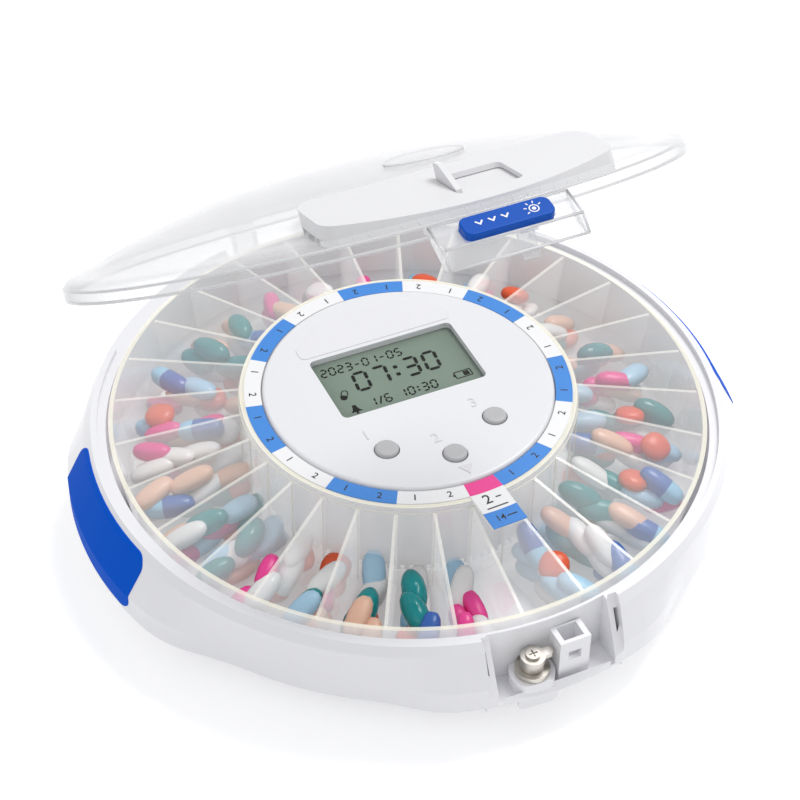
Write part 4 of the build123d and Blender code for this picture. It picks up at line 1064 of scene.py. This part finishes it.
# ------------------------------------------------------------------ the other groups
@dataclass
class Case(SubAssembly):
    """White case, its blue grips, the deck under the tray, the foot ring and the screws."""

    liner: tuple[tuple[float, float], ...] = ((-105.2, 33.0), (-99.6, 35.4), (-99.6, 14.0), (-108.2, 14.0),
                                              (-108.0, 22.0), (-107.0, 28.0))
    liner_from: float = 23.05 * MM
    liner_thickness: float = 0.4 * MM
    boss_middle: tuple[float, float] = (-7.0 * MM, 15.2 * MM)
    boss_size: tuple[float, float] = (13.0 * MM, 6.4 * MM)
    boss_skin: tuple[float, float] = (110.0 * MM, 110.9 * MM)

    def finishes(self) -> dict[Any, tuple[str, ...]]:
        """White shells, blue grips, rubber foot, zinc-plated screws."""
        return {WHITE_ABS: ("lower_case", "upper_case", "latch_keeper", "carousel_deck", "battery_cover"),
                SOFT_BLUE: ("side_grip_left", "side_grip_right"),
                RUBBER: ("foot_ring",),
                STEEL: ("case_screws", "battery_cover_screw", "hinge_pin")}

    def liners(self) -> Joiner:
        """Two thin plates that close the latch grooves towards the hollow shell, one in each cheek."""
        outline = np.array(self.liner) * MM
        plates = Joiner()
        for side in (-1, 1):
            points, faces = slab(outline, self.liner_from, self.liner_from + self.liner_thickness)
            placed = np.column_stack([side * points[:, 2], points[:, 0], points[:, 1]])
            plates.add(placed, faces if side > 0 else [face[::-1] for face in faces])
        return plates

    def lock_boss(self) -> Joiner:
        """A low curved pad on the lip in front of the lock: the corner radius rounds its outline off.

        Its outline's x runs along the arc of the lip, its y becomes height, and both skins lie on circles
        about the case's axis.
        """
        along, up = rounded_outline(*self.boss_size, 2.0 * MM).T
        skins = []
        for radius in self.boss_skin:
            turn = (along + self.boss_middle[0]) / radius
            skins.append(np.column_stack([radius * np.sin(turn), -radius * np.cos(turn), up + self.boss_middle[1]]))
        n = len(along)
        around = grid_faces(2, n, wrap_columns=True)
        boss = Joiner()
        boss.add(np.concatenate(skins), [list(range(n)), [n + k for k in range(n)][::-1], *around.tolist()])
        return boss

    def build(self) -> None:
        """Dresses the case and adds the groove liners and the pad before the lock."""
        self.dress()
        white = self.nodes["upper_case"].data.materials[0]
        self.liners().build("groove_liners", "base", white)
        self.lock_boss().build("lock_boss", "base", white)
        log.info("groove liners and lock boss made")


@dataclass
class Power(SubAssembly):
    """Drive and electrics under the tray and in the hub."""

    def finishes(self) -> dict[Any, tuple[str, ...]]:
        """Acetal gears, plated metal, green board and black mouldings."""
        return {ACETAL: ("motor_pinion", "drive_gear"),
                BARE_STEEL: ("gear_motor", "gear_axle", "board_screws", "battery_contacts"),
                BOARD_GREEN: ("main_board",), BLACK: ("button_switches", "buzzer"), JACKET: ("batteries",),
                BRACKET_WHITE: ("motor_bracket",)}


@dataclass
class Hub(SubAssembly):
    """White hub with its blank name plate, its window and three buttons, and raised marks beside them."""

    marks: tuple[tuple[str, float, float], ...] = (("1", -22.6, -16.6), ("2", -2.6, -26.6), ("3", 15.6, -16.4))
    mark_size: float = 6.0 * MM
    mark_height: float = 0.22 * MM
    arrow: tuple[float, float, float] = (0.6 * MM, -43.0 * MM, 2.5 * MM)

    def finishes(self) -> dict[Any, tuple[str, ...]]:
        """White hub, pale plate, clear window, grey buttons."""
        return {HUB_WHITE: ("hub_cover", "hub_tower"), PLATE_WHITE: ("name_plate",), LENS_CLEAR: ("lcd_lens",),
                BUTTON_GREY: ("button_left", "button_middle", "button_right")}

    def build(self) -> None:
        """Dresses the hub and raises a number beside each button and an arrow towards the home cell."""
        self.dress()
        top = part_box("hub_cover")[1].z
        raised = Joiner()
        for words, x, y in self.marks:
            points, faces = flat_text(words, self.mark_size, 2 * self.mark_height)
            raised.add(points + np.array([x * MM, y * MM, top]), faces)
        x, y, reach = self.arrow
        outline = np.array([[0, -reach], [0.95 * reach, 0.62 * reach], [-0.95 * reach, 0.62 * reach]])
        raised.add(*slab(outline + np.array([x, y]), top - self.mark_height, top + self.mark_height))
        raised.build("hub_marks", "base", MARK_WHITE.build())
        log.info("hub marks: %d numbers and an arrow", len(self.marks))


@dataclass
class Tray(SubAssembly):
    """Clear tray with its walls, dividers, floor and ring gear."""

    cells: int = 29
    home_bearing: float = 2.2
    thickness: float = 1.1 * MM
    inner: float = 55.75 * MM
    highlight_radius: float = 0.3 * MM
    divider: tuple[tuple[float, float], ...] = ((55.6, 13.0), (92.4, 13.0), (97.0, 39.9), (55.6, 46.1))
    post: tuple[float, float] = (13.2 * MM, 46.0 * MM)
    rings: tuple[tuple[float, float], ...] = ((55.3 * MM, 48.4 * MM), (55.8 * MM, 46.3 * MM))

    def finishes(self) -> dict[Any, tuple[str, ...]]:
        """Clear mouldings with pale upper edges."""
        return {TRAY_CLEAR: ("tray_inner_wall", "tray_outer_wall"), DIVIDER_CLEAR: ("tray_dividers",),
                FLOOR_CLEAR: ("tray_floor", "tray_ring_gear")}

    def turned(self, points: np.ndarray, cell: int) -> np.ndarray:
        """Points drawn along -Y, turned to the wall after a cell: bearing = home + (cell + 1/2) * cell angle."""
        bearing = math.radians(self.home_bearing + (cell + 0.5) * 360 / self.cells)
        c, s = math.cos(bearing), math.sin(bearing)
        return points @ np.array([[c, s, 0], [-s, c, 0], [0, 0, 1]])

    def build(self) -> None:
        """Dresses the tray, draws its dividers up to the flange and adds pale tubes along its edges as a painted
        highlight.
        """
        self.dress()
        outline = np.array(self.divider) * MM
        plate, faces = slab(outline, -self.thickness / 2, self.thickness / 2)
        plate = np.column_stack([plate[:, 2], -plate[:, 0], plate[:, 1]])
        # painted highlight: a pale tube up each divider's post
        foot = np.array([[0, -self.inner, z] for z in np.linspace(*self.post, 3)])
        post, post_faces = tube(foot, self.highlight_radius, (1, 0, 0))
        plates, highlight_lines = Joiner(), Joiner()
        for cell in range(self.cells):
            plates.add(self.turned(plate, cell), faces)
            highlight_lines.add(self.turned(post, cell), post_faces)
        dividers = plates.build("divider_plates", "tray", self.nodes["tray_dividers"].data.materials[0])
        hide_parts("tray_dividers")
        # painted highlight: pale tubes round the inner wall's top
        turns = np.linspace(0, FULL_TURN, 144, endpoint=False)
        circle = np.column_stack([np.cos(turns), np.sin(turns), np.zeros_like(turns)])
        for radius, height in self.rings:
            highlight_lines.add(*tube(circle * radius + np.array([0, 0, height]), self.highlight_radius, (0, 0, 1), True, 6))
        highlight_lines.build("tray_beads", "tray", IVORY_HIGHLIGHT_LINE.build(), smooth=True)
        log.info("%d divider plates and their beads made", self.cells)


@dataclass
class Swing:
    """The lid's turn from shut to its photographed pose, about the hinge pin."""

    pin: tuple[float, float, float] = (0.0, 106.0 * MM, 26.0 * MM)
    angle: float = -math.radians(36)

    def open(self, points: np.ndarray) -> np.ndarray:
        """Points of the shut lid, turned to the open pose."""
        return turn_about_x(points, self.pin, self.angle)


@dataclass
class Lid(SubAssembly):
    """Clear lid with the white door housing and the shutter, and thin tubes along its edges as painted highlight
    lines.
    """

    rim_radius: float = 101.8 * MM
    rim_low: float = 38.6 * MM
    rim_high: float = 41.9 * MM
    highlight_radius: float = 0.42 * MM
    boss: tuple[float, float, float, float] = (4.0 * MM, -46.0 * MM, 13.0 * MM, 7.0 * MM)
    dome_radius: float = 101.0 * MM
    dome_rise: float = 17.0 * MM
    dome_foot: float = 43.0 * MM
    dome_power: float = 2.2
    swing: Swing = field(default_factory=Swing)

    def finishes(self) -> dict[Any, tuple[str, ...]]:
        """Clear dome and rim, white door parts."""
        return {LID_CLEAR: ("lid_rim", "lid_dome"), DOOR_WHITE: ("door_plate", "door_retainer", "door_shutter")}

    def dome_height(self, x: np.ndarray, y: np.ndarray) -> np.ndarray:
        """Height of the shut dome's skin: foot + rise * (1 - (radius / dome radius) ^ power)."""
        share = np.hypot(x, y) / self.dome_radius
        return self.dome_foot + self.dome_rise * (1 - share ** self.dome_power)

    def build(self) -> None:
        """Dresses the lid and adds a painted highlight line along each edge of its rim and round the oval boss."""
        self.dress()
        turns = np.linspace(0, FULL_TURN, 160, endpoint=False)
        circle = np.column_stack([np.cos(turns), np.sin(turns), np.zeros_like(turns)])
        highlight_lines = Joiner()
        # painted highlight lines along the rim's lower and upper edges, then round the boss
        for radius, height in ((self.rim_radius, self.rim_low), (self.rim_radius - 0.3 * MM, self.rim_high)):
            points, faces = tube(circle * radius + np.array([0, 0, height]), self.highlight_radius, (0, 0, 1), True, 6)
            highlight_lines.add(self.swing.open(points), faces)
        x, y, length, width = self.boss
        for inset, radius in ((0.0, 0.32 * MM), (1.3 * MM, 0.2 * MM)):
            px = x + (length - inset) * circle[::2, 0]
            py = y + (width - inset) * circle[::2, 1]
            path = np.column_stack([px, py, self.dome_height(px, py) + 0.75 * MM])
            points, faces = tube(path, radius, (0, 0, 1), True, 6)
            highlight_lines.add(self.swing.open(points), faces)
        highlight_lines.build("lid_beads", "lid", CLEAR_HIGHLIGHT_LINE.build(), smooth=True)
        log.info("lid beads: two on the rim, two on the boss")


@dataclass
class Latch(SubAssembly):
    """Clear latch cover and hook, the blue pad and its touch sign."""

    half_width: float = 21.6 * MM
    profile: tuple[tuple[float, float], ...] = ((-104.0, 41.5), (-111.6, 35.1), (-113.0, 29.3))
    heel: tuple[tuple[float, float], ...] = ((-110.6, 29.3), (-104.0, 38.7))
    highlight_radius: float = 0.42 * MM
    sign_place: tuple[float, float, float] = (0.0, -60.294 * MM, 163.80 * MM)
    sign_tilt: float = math.radians(4.1)
    line: float = 0.36 * MM
    swing: Swing = field(default_factory=Swing)

    def finishes(self) -> dict[Any, tuple[str, ...]]:
        """Clear cover and hook, blue pad, steel pin."""
        return {LATCH_CLEAR: ("latch_cover", "latch_hook"), PAD_BLUE: ("press_pad",), PIN_STEEL: ("hook_pin",)}

    def edges(self) -> None:
        """Adds painted highlight lines along the cover's two cheeks, its toe, its knee and its top edge."""
        highlight_lines = Joiner()
        outline = np.array(self.profile + self.heel) * MM
        # painted highlight lines round each cheek's outline, then across the cover
        for x in (-self.half_width, self.half_width):
            path = np.column_stack([np.full(len(outline), x), outline])
            points, faces = tube(path, self.highlight_radius, (1, 0, 0), closed=True)
            highlight_lines.add(self.swing.open(points), faces)
        reach = np.linspace(-self.half_width, self.half_width, 3)
        for y, z in self.profile:
            path = np.column_stack([reach, np.full(3, y * MM), np.full(3, z * MM)])
            points, faces = tube(path, self.highlight_radius, (0, 0, 1))
            highlight_lines.add(self.swing.open(points), faces)
        highlight_lines.build("latch_beads", "lid", CLEAR_HIGHLIGHT_LINE.build(), smooth=True)

    def sign(self) -> list[np.ndarray]:
        """Flat outlines of a fingertip dot in a ring with short rays, and an arrow pointing down at it."""
        turns = np.linspace(0, FULL_TURN, 24, endpoint=False)
        circle = np.column_stack([np.cos(turns), np.sin(turns)])
        middle = np.array([8.2 * MM, -0.2 * MM])
        parts = [circle * 0.62 * MM + middle]
        for k in range(24):
            pair = circle[[k, (k + 1) % 24]]
            parts.append(np.concatenate([pair[:1] * 1.2 * MM, pair[:1] * (1.2 * MM + self.line),
                                         pair[1:] * (1.2 * MM + self.line), pair[1:] * 1.2 * MM]) + middle)
        for turn in np.radians([30, 75, 120, 165, 210]):
            along = np.array([math.cos(turn), math.sin(turn)])
            across = np.array([-along[1], along[0]]) * self.line / 2
            near, far = along * 2.1 * MM, along * 3.0 * MM
            parts.append(np.array([near - across, far - across, far + across, near + across]) + middle)
        for x in (-8.5, -4.5, -0.5):
            arrow = np.array([[-1.3, 0.9], [-0.9, 1.2], [0, 0.1], [0.9, 1.2], [1.3, 0.9], [0, -0.7]]) * MM
            parts.append(arrow[::-1] + np.array([x * MM, -0.2 * MM]))
        return parts

    def build(self) -> None:
        """Dresses the latch, adds painted highlight lines along its edges and prints the sign on the pad."""
        self.dress()
        self.edges()
        ink = Joiner()
        for outline in self.sign():
            points, faces = slab(outline, 0.0, 0.06 * MM)
            points = turn_about_x(points, (0, 0, 0), self.sign_tilt)
            ink.add(points + np.array(self.sign_place), faces)
        ink.build("pad_sign", "latch_pad", INK_WHITE.build())
        log.info("latch beads and pad sign made")


@dataclass
class Lock(SubAssembly):
    """Nickel-plated lock beside the keeper."""

    def finishes(self) -> dict[Any, tuple[str, ...]]:
        """Nickel plate throughout."""
        return {NICKEL: ("lock_body", "lock_plug", "lock_cam", "lock_cam_screw")}


def main() -> None:
    """Loads the frame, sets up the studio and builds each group."""
    logging.basicConfig(level=logging.INFO, format="%(message)s")
    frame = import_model()
    Studio().build()
    for group in (Case, Power, Hub, Tray, DoseRing, Display, Lid, Latch, Lock):
        group(frame["nodes"]).build()
    Contents().build()


if __name__ == "__main__":
    main()
